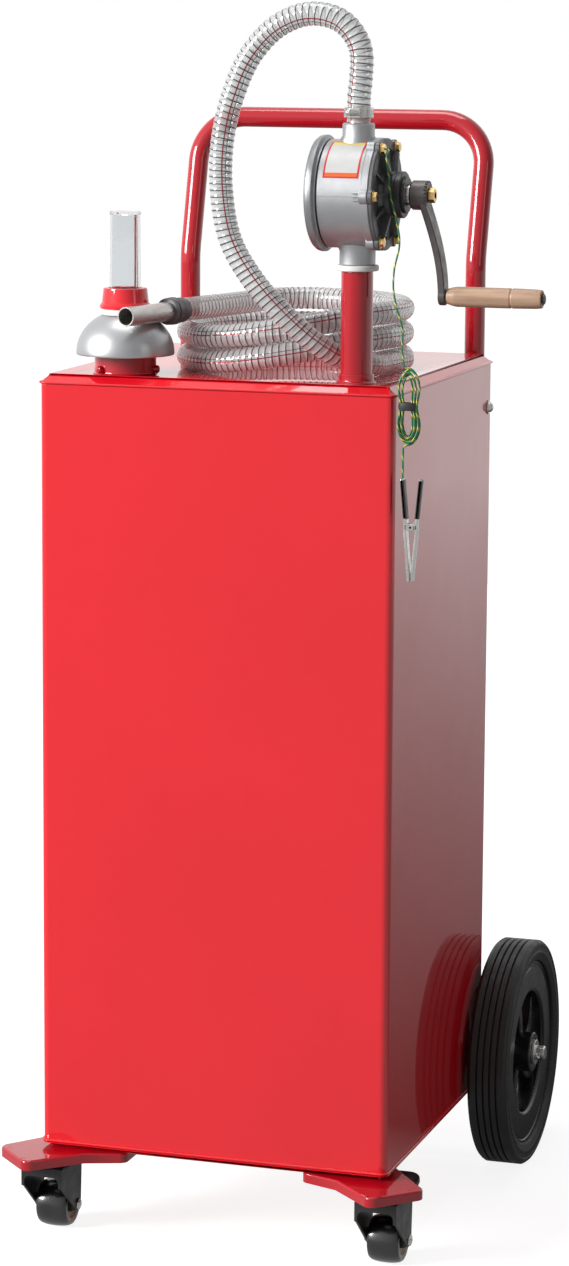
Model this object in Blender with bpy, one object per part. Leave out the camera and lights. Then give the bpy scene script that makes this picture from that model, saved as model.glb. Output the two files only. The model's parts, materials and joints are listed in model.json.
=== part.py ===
"""Fuel caddy: a pressed steel tank on two rear wheels and two braked casters.

A hand rotary pump stands on top, with its hose coiled on the tank and an earth wire beside it.
Metres, +Z up. The tank is modelled centred over the origin, and the last step moves the whole
caddy so that the bottom centre of its box, measured without the hose and the wire, is the origin.
"""

import math

import bmesh
import bpy
from mathutils import Matrix, Vector

# Running clearance between pieces that touch, and how far a cutter overruns its cut
GAP = 0.0003
OVERRUN = 0.002
FINE = 0.0002

# Tank
TANK_WIDTH = 0.375
TANK_DEPTH = 0.380
TANK_LOW = 0.101
TANK_HIGH = 0.899
TANK_CORNER = 0.008
SHEET = 0.0015
HEM = 0.0008
PANEL_BORDER = 0.006
PANEL_SLOPE = 0.010
TOP_RISE = 0.007
BOTTOM_DROP = 0.006
CORNER_STEPS = 3
TANK_HALF = TANK_WIDTH / 2
TANK_BACK = TANK_DEPTH / 2
DECK = TANK_HIGH + TOP_RISE

# Filler neck and its domed cap with the sight gauge
FILLER_INSET_X = 0.075
FILLER_INSET_Y = 0.050
FILLER_X = FILLER_INSET_X - TANK_HALF
FILLER_Y = FILLER_INSET_Y - TANK_BACK
NECK_RADIUS = 0.0315
NECK_WALL = 0.0025
NECK_HEIGHT = 0.019
NECK_LUG_REACH = 0.005
NECK_LUG_WIDTH = 0.008
NECK_LUG_HEIGHT = 0.005
NECK_LUGS = 3
DOME_RADIUS = 0.050
DOME_HEIGHT = 0.040
DOME_LIP = 0.002
DOME_SHEET = 0.0014
DOME_TOP_SHARE = 0.48
DOME_STEPS = 5
PLUG_DEPTH = 0.012
PLUG_BORE = 0.0144
SLEEVE_RADIUS = 0.021
SHOULDER_OVERLAP = 0.002
SHOULDER_THICKNESS = 0.0025
WHITE_RING_RADIUS = 0.025
WHITE_RING_HEIGHT = 0.006
RED_COLLAR_RADIUS = 0.02625
RED_COLLAR_LIP = 0.004
RED_COLLAR_TOP = 0.0225
RED_COLLAR_HEIGHT = 0.021
SIGHT_RADIUS = 0.0164
SIGHT_TOP_RADIUS = 0.0152
SIGHT_WALL = 0.0020
SIGHT_HIGH = 1.070
ROD_RADIUS = 0.0009
ROD_OFFSET = 0.0105
ROD_HEADROOM = GAP
FLOAT_RADIUS = 0.018
FLOAT_HEIGHT = 0.034
FLOAT_DEPTH = 0.030
FLOAT_EDGE = 0.004

# Standpipe, suction tube and ring nut
PIPE_X = 0.1355
PIPE_Y = -0.148
PIPE_RADIUS = 0.016
PIPE_BASE_RADIUS = 0.01775
PIPE_BASE_HEIGHT = 0.009
PIPE_HIGH = 1.0175
SUCTION_RADIUS = 0.0125
SUCTION_WALL = 0.0015
SUCTION_CLEAR_OF_FLOOR = 0.020
RING_RADIUS = 0.0215
RING_HEIGHT = 0.0058
RING_CHAMFER = 0.001

# Pump, along its own X axis, which is turned towards the front by the yaw
PUMP_ABOVE_PIPE = 0.0761
PUMP_HEIGHT = PIPE_HIGH + PUMP_ABOVE_PIPE
PUMP_YAW_DEG = 0.0
BODY_RADIUS = 0.0535
BODY_LEFT = -0.028
BODY_RIGHT = 0.026
BORE_RADIUS = 0.042
BORE_DROP = 0.004
FLANGE_RADIUS = 0.0555
FLANGE_WIDTH = 0.0074
BOSS_RADIUS = 0.0075
BOSS_RAISE = 0.0008
BOLT_CIRCLE = 0.0525
BOLTS = 6
STUB_LOW_RADIUS = 0.018
STUB_HIGH_RADIUS = 0.016
STUB_HIGH_REACH = 0.0694
PORT_RADIUS = 0.010
REAR_RADIUS = 0.0575
REAR_WIDTH = 0.012
REAR_ROUND = 0.004
REAR_SPIGOT = 0.003
COVER_WIDTH = 0.004
COVER_HUB_RADIUS = 0.0225
COVER_HUB_WIDTH = 0.0117
RIB_THICKNESS = 0.004
RIB_OUTER_SHARE = 0.45
GLAND_RADIUS = 0.023
GLAND_WIDTH = 0.010
GLAND_STEP_RADIUS = 0.018
GLAND_STEP_WIDTH = 0.003
SHAFT_RADIUS = 0.007
SHAFT_NECK_RADIUS = 0.010
ROTOR_RADIUS = 0.0355
VANE_REACH = 0.0010
VANE_THICKNESS = 0.004
VANES = 4
BOLT_HEAD_RADIUS = 0.0052
BOLT_HEAD_HEIGHT = 0.004
BOLT_SHANK_RADIUS = 0.0025
BOLT_SHANK_LENGTH = 0.010

# Crank and its wooden grip
CRANK_HUB_RADIUS = 0.0145
CRANK_HUB_LEFT = 0.0555
CRANK_HUB_WIDTH = 0.0175
CRANK_THROW = 0.0986
CRANK_HUB_SIDE = 0.0245
CRANK_EYE_SIDE = 0.0165
CRANK_THICKNESS = 0.007
CRANK_START = 0.066
CRANK_END = 0.0885
CRANK_EYE_RADIUS = 0.009
CRANK_STATIONS = 7
NUT_RADIUS = 0.0075
NUT_HEIGHT = 0.006
GRIP_RADIUS = 0.010
GRIP_END_RADIUS = 0.0075
GRIP_LENGTH = 0.097
GRIP_GROOVE = 0.0007
GRIP_GROOVE_SHARE = 0.68
PIN_RADIUS = 0.0032
PIN_HEAD_RADIUS = 0.0052
PIN_HEAD_WIDTH = 0.0025

# Handle: one bent tube on two saddles behind the tank
HANDLE_RADIUS = 0.011
HANDLE_INSET = 0.0245
HANDLE_X = TANK_HALF - HANDLE_INSET
HANDLE_BEHIND = 0.016
HANDLE_LOW = 0.640
HANDLE_KINK = 1.005
HANDLE_TOP = 1.154
HANDLE_LEAN_DEG = 15.0
HANDLE_CORNER = 0.050
HANDLE_KINK_RADIUS = 0.080
SADDLE_WIDTH = 0.044
SADDLE_PLATE = 0.003
SADDLE_HEIGHT = 0.180
SADDLE_RING = 0.003
SADDLE_BAND = 0.026
SADDLE_LOW = 0.655
SIDE_BOLT_INSET = 0.016
SIDE_BOLT_Y = TANK_BACK - SIDE_BOLT_INSET
SIDE_BOLT_Z = 0.851
SIDE_BOLT_RADIUS = 0.0055
SIDE_BOLT_DOME = 0.0045
WASHER_RADIUS = 0.0075
WASHER_THICKNESS = 0.0012

# Rear wheels, axle and its brackets
WHEEL_RADIUS = 0.125
TYRE_WIDTH = 0.044
WHEEL_GAP = 0.0075
WHEEL_BEHIND = 0.0313
WHEEL_Y = TANK_BACK + WHEEL_BEHIND
TYRE_DEPTH = 0.024
TYRE_SEAT = WHEEL_RADIUS - TYRE_DEPTH
TREAD_GROOVES = 4
TREAD_GROOVE_DEPTH = 0.0025
TREAD_GROOVE_WIDTH = 0.0024
TYRE_SHOULDER = 0.004
RIM_BAND = 0.034
RIM_OPENING = TYRE_SEAT - RIM_BAND
RIM_WIDTH = 0.034
RIM_EDGE = 0.003
WHEEL_HUB_RADIUS = 0.022
WHEEL_HUB_WIDTH = 0.045
SPOKES = 5
SPOKE_THICKNESS = 0.011
SPOKE_WIDTH = 0.016
SPOKE_SWEEP_DEG = 26.0
SPOKE_STATIONS = 5
AXLE_RADIUS = 0.008
AXLE_REACH = 0.0102
STOP_RADIUS = 0.014
STOP_WIDTH = 0.0025
COTTER_RADIUS = 0.0014
COTTER_LENGTH = 0.024
AXLE_BRACKET_INSET = 0.0475
AXLE_BRACKET_X = TANK_HALF - AXLE_BRACKET_INSET
AXLE_BRACKET_PLATE = 0.004
AXLE_BRACKET_FOOT = 0.030
AXLE_BRACKET_HEIGHT = 0.060
AXLE_EYE_RADIUS = 0.016

# Corner brackets under the front of the tank: PAST is beyond the tank's side or front, INSET is within it
SWIVEL_INSET_X = 0.0055
SWIVEL_INSET_Y = 0.003
SWIVEL_X = TANK_HALF - SWIVEL_INSET_X
SWIVEL_Y = SWIVEL_INSET_Y - TANK_BACK
BRACKET_SHEET = 0.0027
BRACKET_SKIRT = 0.008
BRACKET_ROUND = 0.009
OUTER_PAST_X = 0.0445
OUTER_PAST_Y = 0.010
FRONT_INSET_X = 0.0015
FRONT_PAST_Y = 0.057
WING_INSET_X = 0.0915
WING_INSET_Y = 0.005
KNEE_INSET_X = 0.0505
KNEE_PAST_Y = 0.010
INNER_INSET_X = 0.0065
INNER_INSET_Y = 0.056
BRACKET_OUTER_X = TANK_HALF + OUTER_PAST_X
BRACKET_OUTER_Y = -TANK_BACK - OUTER_PAST_Y
BRACKET_FRONT_X = TANK_HALF - FRONT_INSET_X
BRACKET_FRONT_Y = -TANK_BACK - FRONT_PAST_Y
BRACKET_WING_X = TANK_HALF - WING_INSET_X
BRACKET_WING_Y = WING_INSET_Y - TANK_BACK
BRACKET_KNEE_X = TANK_HALF - KNEE_INSET_X
BRACKET_KNEE_Y = -TANK_BACK - KNEE_PAST_Y
BRACKET_INNER_X = TANK_HALF - INNER_INSET_X
BRACKET_INNER_Y = INNER_INSET_Y - TANK_BACK

# Casters
TOP_PLATE_SIDE = 0.046
TOP_PLATE_SHEET = 0.0027
RACE_RADIUS = 0.022
RACE_HEIGHT = 0.011
KINGPIN_RADIUS = 0.004
KINGPIN_HEAD_RADIUS = 0.007
KINGPIN_HEAD_HEIGHT = 0.003
CROWN_RADIUS = 0.026
CROWN_SHEET = 0.003
CASTER_WHEEL_RADIUS = 0.025
CASTER_WHEEL_WIDTH = 0.034
CASTER_TRAIL = 0.028
CASTER_HUB_WIDTH = 0.0388
CASTER_RING_RADIUS = 0.0185
CASTER_BOLT_RADIUS = 0.0040
CASTER_NUT_RADIUS = 0.0062
CASTER_NUT_WIDTH = 0.0030
LEG_SHEET = 0.0025
LEG_EYE_RADIUS = 0.009
LEG_FRONT = 0.021
LEG_SHOULDER_Z = 0.058
EAR_Y = 0.034
EAR_Z = 0.068
EAR_RADIUS = 0.006
PEDAL_PIN_RADIUS = 0.0022
PEDAL_LENGTH = 0.050
PEDAL_THICKNESS = 0.007
PEDAL_TIP_Z = 0.078

# Hose
HOSE_RADIUS = 0.0121
HOSE_VALLEY = 0.0111
HOSE_BORE = 0.0088
HOSE_STRAIGHT = 0.024
COIL_X = 0.031
COIL_Y = -0.020
COIL_RADIUS = 0.111
COIL_PITCH = 0.0251
COIL_START_DEG = -8.0
COIL_END_DEG = 795.0
CLIMB_START_DEG = 228.0
CLIMB_END_DEG = 340.0
COIL_RIBS = 56
RISER_RIBS = 35
LEAD_RIBS = 10
BORE_STRIDE = 4
CLAMP_RADIUS = 0.0146
CLAMP_BAND = 0.010
CLAMP_SCREW_RADIUS = 0.0032
CLAMP_SCREW_LENGTH = 0.014
NOZZLE_END = (-0.0885, -0.2050, 0.9692)
NOZZLE_YAW_DEG = 13.3
NOZZLE_RADIUS = 0.00975
NOZZLE_WALL = 0.0015
NOZZLE_VISIBLE = 0.076
NOZZLE_COLLAR_RADIUS = 0.014
NOZZLE_COLLAR_LENGTH = 0.028

# Earth wire, its hank and the clip
WIRE_RADIUS = 0.0010
HANK_X = 0.2037
HANK_Y = -0.1980
HANK_Z = 0.890
HANK_HALF_WIDTH = 0.016
HANK_HALF_HEIGHT = 0.038
HANK_STEP = 0.0044
HANK_LAYER = 0.0026
HANK_TURNS = 4.5
HANK_CROSSING = 0.5
HANK_WAIST_SHARE = 0.42
HANK_WAIST_REACH = 0.016
HANK_POINTS = 16
WIRE_POINTS = 20
TAIL_POINTS = 10
CLIP_X = 0.2085
CLIP_TOP = 0.8190
CLIP_HANDLE = 0.048
CLIP_JAW = 0.054
CLIP_SHEET = 0.0030
CLIP_WIDTH = 0.0092
CLIP_SPREAD = 0.0110
CLIP_NECK = 0.0041
CLIP_CHEEK = 0.0012
CLIP_CHEEK_SIDE = 0.0032
CLIP_PIN_RADIUS = 0.0015
CLIP_BOSS_RADIUS = 0.0034
CLIP_KNUCKLE = 0.006

# Points of the free stretches of hose and wire, chosen by hand along the real route
RISER_ROUTE = (
    (0.1372, -0.148, 1.2050),
    (0.1350, -0.148, 1.2400),
    (0.1190, -0.148, 1.2605),
    (0.0869, -0.148, 1.2690),
    (0.0540, -0.148, 1.2585),
    (0.0270, -0.148, 1.2335),
    (0.0045, -0.149, 1.1870),
    (-0.0060, -0.150, 1.1400),
    (-0.0055, -0.152, 1.0900),
    (0.0050, -0.154, 1.0440),
    (0.0300, -0.156, 1.0050),
    (0.0585, -0.1555, 0.9745),
    (0.0840, -0.1490, 0.9510),
    (0.1085, -0.1350, 0.9325),
    (0.1225, -0.1195, 0.9248),
    (0.1335, -0.0985, 0.9205),
)
LEAD_ROUTE = (
    (0.0160, 0.0946, 0.9690),
    (-0.0033, 0.0878, 0.9690),
    (-0.0184, 0.0739, 0.9690),
    (-0.0268, 0.0555, 0.9690),
    (-0.0353, 0.0200, 0.9690),
    (-0.0447, -0.0200, 0.9690),
    (-0.0518, -0.0500, 0.9690),
)
WIRE_ROUTE = (
    (0.1740, -0.1805, 1.1330),
    (0.1758, -0.1805, 1.1150),
    (0.1780, -0.1810, 1.0960),
    (0.1850, -0.1830, 1.0720),
    (0.1893, -0.1850, 1.0480),
    (0.1850, -0.1880, 1.0220),
    (0.1853, -0.1910, 1.0040),
    (0.1885, -0.1935, 0.9900),
    (0.1965, -0.1960, 0.9650),
    (0.1975, -0.1975, 0.9400),
)
TAIL_ROUTE = (
    (0.1998, -0.1966, 0.8505),
    (0.1988, -0.1972, 0.8430),
    (0.1990, -0.1980, 0.8330),
)

# How finely round things are divided
TYRE_SIDES = 24
ROUND_SIDES = 16
SMALL_SIDES = 12
TINY_SIDES = 8
HOLE_SIDES = 6
TUBE_RESOLUTION = 2
BORE_RESOLUTION = 1
WIRE_RESOLUTION = 1
SMOOTH_DEG = 32.0
HEX_SIDES = 6
BEND_STEPS = 6
BOLT_DOME_STEPS = 4
ROUTE_STEPS = 12
MEASURE_POINTS = 400
COIL_STEP_DEG = 5.0


for old in list(bpy.data.objects):
    bpy.data.objects.remove(old)


def finish(name, colour, roughness, metallic=0.0):
    """A Principled material with its base colour in linear values."""
    made = bpy.data.materials.new(name)
    made.use_nodes = True
    shader = made.node_tree.nodes["Principled BSDF"]
    shader.inputs["Base Color"].default_value = (*colour, 1.0)
    shader.inputs["Roughness"].default_value = roughness
    shader.inputs["Metallic"].default_value = metallic
    return made


RED = finish("red_enamel", (0.60, 0.010, 0.020), 0.25)
CAST = finish("cast_aluminium", (0.42, 0.43, 0.44), 0.45, 0.8)
DARK = finish("dark_casting", (0.05, 0.05, 0.055), 0.50, 0.4)
STEEL = finish("zinc_steel", (0.55, 0.55, 0.54), 0.30, 1.0)
BRASS = finish("brass", (0.60, 0.40, 0.12), 0.35, 1.0)
WOOD = finish("turned_wood", (0.55, 0.33, 0.16), 0.55)
RUBBER = finish("black_rubber", (0.015, 0.015, 0.016), 0.70)
BLACK = finish("black_plastic", (0.020, 0.020, 0.022), 0.40)
SILVER = finish("silver_paint", (0.45, 0.46, 0.47), 0.35, 0.6)
WHITE = finish("white_plastic", (0.80, 0.80, 0.78), 0.40)
CLEAR = finish("clear_plastic", (0.85, 0.88, 0.88), 0.10)
WIRE = finish("earth_wire", (0.05, 0.30, 0.08), 0.45)


def empty(name, location=(0, 0, 0), rotation=(0, 0, 0), parent=None):
    """An axis or frame that pieces hang from."""
    made = bpy.data.objects.new(name, None)
    made.location = location
    made.rotation_euler = rotation
    made.parent = parent
    bpy.context.scene.collection.objects.link(made)
    return made


CADDY = empty("caddy")


def piece(name, shape, material, parent=CADDY, location=(0, 0, 0), rotation=(0, 0, 0)):
    """A solid from a bmesh, shaded smooth up to the sharp angle."""
    bmesh.ops.recalc_face_normals(shape, faces=shape.faces[:])
    mesh = bpy.data.meshes.new(name)
    shape.to_mesh(mesh)
    shape.free()
    mesh.materials.append(material)
    mesh.shade_smooth()
    mesh.set_sharp_from_angle(angle=math.radians(SMOOTH_DEG))
    made = bpy.data.objects.new(name, mesh)
    made.location = location
    made.rotation_euler = rotation
    made.parent = parent
    bpy.context.scene.collection.objects.link(made)
    return made


def tool(target, shape, operation, location=(0, 0, 0), rotation=(0, 0, 0)):
    """Joins or cuts a hidden shape into its target, in the target's own frame."""
    number = len(target.modifiers)
    hidden = piece(f"{target.name}_tool_{number}", shape, target.data.materials[0], target, location, rotation)
    hidden.hide_render = True
    hidden.display_type = "WIRE"
    change = target.modifiers.new(operation.lower(), "BOOLEAN")
    change.operation = operation
    change.object = hidden
    change.solver = "EXACT"
    return hidden


def turned(profile, steps, axis="Z"):
    """Revolves (radius, height) points; a radius of zero is a pole, and other profiles close on themselves."""
    shape = bmesh.new()
    rings = []
    for radius, height in profile:
        if radius == 0:
            rings.append([shape.verts.new((0, 0, height))])
            continue
        turn = [2 * math.pi * k / steps for k in range(steps)]
        rings.append([shape.verts.new((radius * math.cos(a), radius * math.sin(a), height)) for a in turn])
    pairs = list(zip(rings, rings[1:]))
    if len(rings[0]) > 1 and len(rings[-1]) > 1:
        pairs.append((rings[-1], rings[0]))
    for low, high in pairs:
        for k in range(steps):
            corners = [low[k % len(low)], low[(k + 1) % len(low)], high[(k + 1) % len(high)], high[k % len(high)]]
            shape.faces.new(list(dict.fromkeys(corners)))
    if axis == "X":
        bmesh.ops.rotate(shape, verts=shape.verts[:], matrix=Matrix.Rotation(math.pi / 2, 3, "Y"))
    if axis == "Y":
        bmesh.ops.rotate(shape, verts=shape.verts[:], matrix=Matrix.Rotation(-math.pi / 2, 3, "X"))
    return shape


def rod(radius, low, high, steps, axis="Z"):
    """A plain round bar between two heights."""
    return turned([(0, low), (radius, low), (radius, high), (0, high)], steps, axis)


def turning_bore(radius, steps):
    """The corner radius of a faceted bore in which a round pin of this radius can turn."""
    return (radius + GAP) / math.cos(math.pi / steps)


def lofted(rings, closed=False):
    """Skins rings of equal length; open stacks are capped at both ends."""
    shape = bmesh.new()
    made = [[shape.verts.new(point) for point in ring] for ring in rings]
    pairs = list(zip(made, made[1:]))
    if closed:
        pairs.append((made[-1], made[0]))
    for low, high in pairs:
        count = len(low)
        for k in range(count):
            shape.faces.new((low[k], low[(k + 1) % count], high[(k + 1) % count], high[k]))
    if not closed:
        shape.faces.new(made[0])
        shape.faces.new(made[-1])
    return shape


def prism(outline, low, high, axis="Z"):
    """Extrudes an outline of two coordinates along an axis."""
    def place(u, v, w):
        return {"Z": (u, v, w), "X": (w, u, v), "Y": (u, w, v)}[axis]
    return lofted([[place(u, v, low) for u, v in outline], [place(u, v, high) for u, v in outline]])


def block(low, high):
    """A box between two corners."""
    outline = [(low[0], low[1]), (high[0], low[1]), (high[0], high[1]), (low[0], high[1])]
    return prism(outline, low[2], high[2])


def rounded(points, radii, steps):
    """A polygon whose corners are rounded by arcs; a radius of zero keeps the corner."""
    outline = []
    for k, corner in enumerate(points):
        corner = Vector(corner)
        radius = radii[k]
        if radius == 0:
            outline.append(tuple(corner))
            continue
        before = (Vector(points[k - 1]) - corner).normalized()
        after = (Vector(points[(k + 1) % len(points)]) - corner).normalized()
        half = before.angle(after) / 2
        centre = corner + (before + after).normalized() * (radius / math.sin(half))
        first = corner + before * (radius / math.tan(half)) - centre
        last = corner + after * (radius / math.tan(half)) - centre
        sweep = first.angle(last)
        for step in range(steps + 1):
            part = step / steps
            blend = (first * math.sin((1 - part) * sweep) + last * math.sin(part * sweep)) / math.sin(sweep)
            outline.append(tuple(centre + blend))
    return outline


def rectangle(width, depth, radius):
    """A rectangle round the origin with rounded corners."""
    x = width / 2
    y = depth / 2
    return rounded([(-x, -y), (x, -y), (x, y), (-x, y)], [radius] * 4, CORNER_STEPS)


def at_height(outline, height):
    return [(x, y, height) for x, y in outline]


def bent_path(corners, radii, steps):
    """A run of straight stretches joined by arcs, as a tube bender makes it."""
    path = [Vector(corners[0])]
    for k in range(1, len(corners) - 1):
        corner = Vector(corners[k])
        before = (Vector(corners[k - 1]) - corner).normalized()
        after = (Vector(corners[k + 1]) - corner).normalized()
        half = before.angle(after) / 2
        reach = radii[k - 1] / math.tan(half)
        centre = corner + (before + after).normalized() * (radii[k - 1] / math.sin(half))
        first = corner + before * reach - centre
        last = corner + after * reach - centre
        sweep = first.angle(last)
        for step in range(steps + 1):
            part = step / steps
            blend = (first * math.sin((1 - part) * sweep) + last * math.sin(part * sweep)) / math.sin(sweep)
            path.append(centre + blend)
    path.append(Vector(corners[-1]))
    return path


def curve_tube(name, path, radii, resolution, material, parent=CADDY):
    """A bevelled curve with filled caps; radii is one value or one for each point."""
    data = bpy.data.curves.new(name, "CURVE")
    data.dimensions = "3D"
    data.use_fill_caps = True
    data.bevel_resolution = resolution
    data.render_resolution_u = 0
    widest = radii if isinstance(radii, float) else max(radii)
    data.bevel_depth = widest
    spline = data.splines.new("POLY")
    spline.points.add(len(path) - 1)
    for k, point in enumerate(path):
        spline.points[k].co = (*point, 1)
        spline.points[k].radius = 1 if isinstance(radii, float) else radii[k] / widest
    data.materials.append(material)
    made = bpy.data.objects.new(name, data)
    made.parent = parent
    bpy.context.scene.collection.objects.link(made)
    return made


def as_mesh(curve):
    """Turns a bevelled curve into a mesh object of the same name."""
    name = curve.name
    parent = curve.parent
    data = bpy.data.meshes.new_from_object(curve.evaluated_get(bpy.context.evaluated_depsgraph_get()))
    bpy.data.objects.remove(curve)
    made = bpy.data.objects.new(name, data)
    made.parent = parent
    bpy.context.scene.collection.objects.link(made)
    return made


def hermite(a, b, slope_a, slope_b, part):
    """A cubic between two points with given slopes."""
    square = part * part
    cube = square * part
    start = 2 * cube - 3 * square + 1
    return a * start + slope_a * (cube - 2 * square + part) + b * (1 - start) + slope_b * (cube - square)


def smooth_path(points, first, last):
    """A smooth curve through points, leaving and arriving along two given directions."""
    points = [Vector(p) for p in points]
    spans = [(b - a).length for a, b in zip(points, points[1:])]
    slopes = [Vector(first).normalized()]
    for k in range(1, len(points) - 1):
        ahead = (points[k + 1] - points[k]) / spans[k]
        behind = (points[k] - points[k - 1]) / spans[k - 1]
        slopes.append((ahead * spans[k - 1] + behind * spans[k]).normalized())
    slopes.append(Vector(last).normalized())
    path = []
    for k, span in enumerate(spans):
        for step in range(ROUTE_STEPS):
            part = step / ROUTE_STEPS
            path.append(hermite(points[k], points[k + 1], slopes[k] * span, slopes[k + 1] * span, part))
    path.append(points[-1])
    return path


def evenly(path, count):
    """The path again at evenly spaced points."""
    lengths = [0]
    for a, b in zip(path, path[1:]):
        lengths.append(lengths[-1] + (b - a).length)
    total = lengths[-1]
    even = []
    k = 0
    for step in range(count):
        want = total * step / (count - 1)
        while k < len(path) - 2 and lengths[k + 1] < want:
            k += 1
        part = (want - lengths[k]) / (lengths[k + 1] - lengths[k])
        even.append(path[k].lerp(path[k + 1], part))
    return even


def least_gap(path, width):
    """The least distance between a tube's skins where it passes itself."""
    lengths = [0]
    for a, b in zip(path, path[1:]):
        lengths.append(lengths[-1] + (b - a).length)
    apart = 4 * width
    near = [
        (path[i] - path[k]).length
        for i in range(len(path))
        for k in range(i)
        if lengths[i] - lengths[k] > apart
    ]
    return min(near) - width


def ribbed_hose(name, path, ribs):
    """Ribbed tube with its bore: crest and valley points alternate along the path."""
    points = evenly(path, 2 * ribs + 1)
    radii = [HOSE_RADIUS if k % 2 == 0 else HOSE_VALLEY for k in range(len(points))]
    outer = as_mesh(curve_tube(name, points, radii, TUBE_RESOLUTION, CLEAR))
    inner = points[::BORE_STRIDE]
    if inner[-1] != points[-1]:
        inner[-1] = points[-1]
    inner[0] = inner[0] + (inner[0] - inner[1]).normalized() * OVERRUN
    inner[-1] = inner[-1] + (inner[-1] - inner[-2]).normalized() * OVERRUN
    bore = as_mesh(curve_tube(f"{name}_bore", inner, HOSE_BORE, BORE_RESOLUTION, CLEAR))
    bore.hide_render = True
    bore.display_type = "WIRE"
    change = outer.modifiers.new("bore", "BOOLEAN")
    change.operation = "DIFFERENCE"
    change.object = bore
    change.solver = "EXACT"
    return outer


# Tank: a folded shell closed by two pressed panels
def pressed_panel(seat, thickness, press, direction):
    """A panel whose centre is pressed along direction, with a sloped border."""
    def ring(inset, height):
        radius = max(TANK_CORNER - inset, FINE)
        return at_height(rectangle(TANK_WIDTH + 2 * HEM - 2 * inset, TANK_DEPTH + 2 * HEM - 2 * inset, radius), height)
    crest = PANEL_BORDER + PANEL_SLOPE
    outer = seat + direction * thickness
    return lofted([
        ring(crest, seat + direction * press),
        ring(PANEL_BORDER, seat),
        ring(0, seat),
        ring(0, outer),
        ring(PANEL_BORDER, outer),
        ring(crest, outer + direction * press),
    ])


def make_tank():
    wall_low = TANK_LOW + SHEET + GAP
    wall_high = TANK_HIGH - SHEET - GAP
    outer = rectangle(TANK_WIDTH, TANK_DEPTH, TANK_CORNER)
    inner = rectangle(TANK_WIDTH - 2 * SHEET, TANK_DEPTH - 2 * SHEET, TANK_CORNER - SHEET)
    rings = [(outer, wall_low), (outer, wall_high), (inner, wall_high), (inner, wall_low)]
    piece("tank_shell", lofted([at_height(line, z) for line, z in rings], closed=True), RED)
    top = piece("tank_top", pressed_panel(TANK_HIGH - SHEET, SHEET, TOP_RISE, 1), RED)
    low = DECK - SHEET - OVERRUN
    high = DECK + OVERRUN
    fill_hole = rod(NECK_RADIUS - NECK_WALL, low, high, ROUND_SIDES)
    tool(top, fill_hole, "DIFFERENCE", (FILLER_X, FILLER_Y, 0))
    pipe_hole = rod(SUCTION_RADIUS + GAP, low, high, ROUND_SIDES)
    tool(top, pipe_hole, "DIFFERENCE", (PIPE_X, PIPE_Y, 0))
    piece("tank_bottom", pressed_panel(TANK_LOW + SHEET, SHEET, BOTTOM_DROP, -1), RED)


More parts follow.
